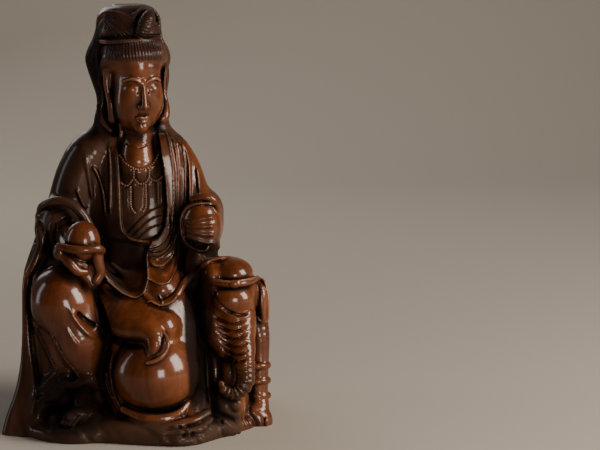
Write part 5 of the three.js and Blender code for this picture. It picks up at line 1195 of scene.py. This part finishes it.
def lacquered_wood():
    """Dark red-brown wood under a satin lacquer: darker in the hollows, as patina and as painted shade, and
    paler on jutting edges, as wear and as painted highlight."""
    shader = Shader("carved_wood")
    place = shader.node("ShaderNodeTexCoord", output="Object")
    upright = shader.node("ShaderNodeMapping", {}, {"Vector": place, "Scale": (1, 1, 0.07)})
    grain = shader.noise(upright, 420.0, 3.0)
    bands = shader.noise(upright, 60.0, 2.0)
    cloud = shader.noise(place, 14.0, 4.0)
    hollow, worn = shader.attribute("hollow"), shader.attribute("worn")
    rock, hair, polished = shader.attribute("rock"), shader.attribute("hair"), shader.attribute("polished")
    tone = shader.mixed(bands.between(0.3, 0.7), DEEP_RED, ORANGE_BROWN)
    tone = shader.mixed(grain.between(0.45, 0.62) * 0.3, tone, GRAIN_LINE)
    tone = shader.mixed(cloud.between(0.45, 0.75) * 0.5, tone, AMBER)
    # Jutting edges paler: part wear, part painted highlight
    tone = shader.mixed(worn.between(0.5, 0.95) * 0.6, tone, RUBBED_AND_GLINT)
    dull = shader.mixed(bands.between(0.3, 0.7), DULL_DARK, DULL_BROWN)
    # The same paler edges on the dull wood: part wear, part painted highlight
    dull = shader.mixed(worn.between(0.5, 0.95) * 0.7, dull, DULL_RUBBED_AND_GLINT)
    tone = shader.mixed(polished.between(0.0, 1.0), dull, tone)
    # The fringe and knot inside the hood are made near black
    tone = shader.mixed(hair * (0.55 + grain * 0.5), tone, NEAR_BLACK_IN_HOOD)
    tone = shader.mixed(rock * (0.35 + cloud * 0.8).clamped(), tone, ROCK_BROWN)
    # Painted shade: closed-in places and the places of painted shade go towards near black; in the tightest
    # hollows this is also patina
    dark = hollow.between(0.18, 0.88)
    tone = shader.mixed(dark * 0.95, tone, NEAR_BLACK)
    bump = shader.node("ShaderNodeBump", {}, {"Height": grain, "Strength": 0.10, "Distance": 0.0003})
    shader.set(Base_Color=tone, Roughness=0.42 + dark * 0.3 + cloud * 0.08 + rock * 0.2, Normal=bump)
    lacquer = (0.42 + polished * 0.53) * (1 - dark) * (1 - 0.75 * rock) * (1 - 0.4 * hair)
    shader.set(Specular_IOR_Level=0.08, Coat_Weight=lacquer, Coat_Roughness=0.15, Coat_IOR=1.42)
    return shader.material


def pale_floor():
    shader = Shader("pale_floor")
    shader.set(Base_Color=(0.36, 0.32, 0.275, 1), Roughness=0.9)
    return shader.material


# The carving's pieces

def own_shift():
    """The step from the carving's own zero to the CAD model's: the same middle over the same ground."""
    lo, hi = [np.array(corner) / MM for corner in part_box(NODE)]
    return np.array([(lo[0] + hi[0]) / 2 - OWN_MIDDLE[0], (lo[1] + hi[1]) / 2 - OWN_MIDDLE[1], lo[2]])


# The middle of the carving seen from above, the height where a finer step begins, and the box carved
OWN_MIDDLE = [1.55, -9.12]
SHIFT = own_shift()
WOOD = lacquered_wood()
SHOULDERS = 286
LOWEST, HIGHEST = [-144, -138, -0.6], [144, 114, 426]
whole = figure()
carve("carved_body", whole.field, LOWEST, [*HIGHEST[:2], SHOULDERS + 1], BODY_CELL, WOOD, SHADES)
carve("carved_head", whole.field, [-64, -80, SHOULDERS - 1], [64, 64, HIGHEST[2]], HEAD_CELL, WOOD, SHADES)
beads("necklace", whole.field, NECKLACE, BEAD_RADIUS, WOOD)


# Floor, lights and camera

def floor():
    """A level floor that curves up far behind into a wall over a quarter turn."""
    near, bend, radius, top = -2.5, 1.6, 1.4, 4.0
    turn = np.linspace(0.1, np.pi / 2, 16)
    run = np.concatenate([np.linspace(near, bend, 12), bend + radius * np.sin(turn), [bend + radius]])
    rise = np.concatenate([np.zeros(12), radius - radius * np.cos(turn), [top]])
    across = np.linspace(-4, 4, 9)
    x, y = np.meshgrid(across, run)
    points = np.stack([x, y, np.broadcast_to(rise[:, None], x.shape)], -1).reshape(-1, 3)
    ids = np.arange(len(points)).reshape(x.shape)
    faces = np.stack([ids[:-1, :-1], ids[:-1, 1:], ids[1:, 1:], ids[1:, :-1]], -1).reshape(-1, 4)
    mesh = bpy.data.meshes.new("floor")
    mesh.from_pydata(points.tolist(), [], faces.tolist())
    mesh.polygons.foreach_set("use_smooth", np.ones(len(faces), bool))
    mesh.materials.append(pale_floor())
    stage = bpy.data.objects.new("floor", mesh)
    bpy.context.collection.objects.link(stage)


def soft_light(name, place, aim, size, power, colour):
    data = bpy.data.lights.new(name, "AREA")
    data.shape = "RECTANGLE"
    data.size, data.size_y = size
    data.energy = power
    data.color = colour
    lamp = bpy.data.objects.new(name, data)
    bpy.context.collection.objects.link(lamp)
    lamp.location = place
    lamp.rotation_euler = (Vector(aim) - Vector(place)).to_track_quat("-Z", "Y").to_euler()


def camera():
    """The photograph's view: 9 degrees above level, 2.2 m away, the figure in the left half of the frame."""
    away, aside, below = 2.2, 0.1634, 0.0127
    focal_pixels, picture_pixels = 2222, 600
    tilt = math.radians(9)
    ahead = Vector((0, math.cos(tilt), -math.sin(tilt)))
    up = Vector((0, math.sin(tilt), math.cos(tilt)))
    middle = Vector((SHIFT[0] * MM, SHIFT[1] * MM, 0.205 + SHIFT[2] * MM))
    place = middle - ahead * away
    aim = middle + Vector((aside, 0, 0)) - up * below
    data = bpy.data.cameras.new("camera")
    data.sensor_width = 36
    data.lens = data.sensor_width * focal_pixels / picture_pixels
    made = bpy.data.objects.new("camera", data)
    bpy.context.collection.objects.link(made)
    made.location = place
    made.rotation_euler = (aim - place).to_track_quat("-Z", "Y").to_euler()
    bpy.context.scene.camera = made


def surroundings():
    world = bpy.data.worlds.new("room")
    bpy.context.scene.world = world
    world.use_nodes = True
    world.node_tree.nodes["Background"].inputs["Color"].default_value = (0.50, 0.47, 0.43, 1)
    world.node_tree.nodes["Background"].inputs["Strength"].default_value = 0.015


floor()
camera()
surroundings()
MIDDLE = (0, 0, 0.2)
soft_light("window_right", (1.62, -0.66, 0.92), MIDDLE, (0.9, 1.2), 62, (1, 0.91, 0.80))
soft_light("window_low", (0.46, -1.60, 0.30), (0, 0, 0.12), (0.42, 0.5), 12, (1, 0.92, 0.82))
soft_light("rim_left", (-1.3, 0.15, 0.5), MIDDLE, (0.3, 1.2), 3.5, (0.95, 0.97, 1))
soft_light("window_behind", (-0.7, 1.6, 1.1), MIDDLE, (1.2, 1.0), 9, (1, 0.96, 0.92))
soft_light("wall_wash", (0.1, 1.0, 1.9), (0.1, 3.0, 0.9), (1.6, 0.8), 16, (1, 0.97, 0.93))
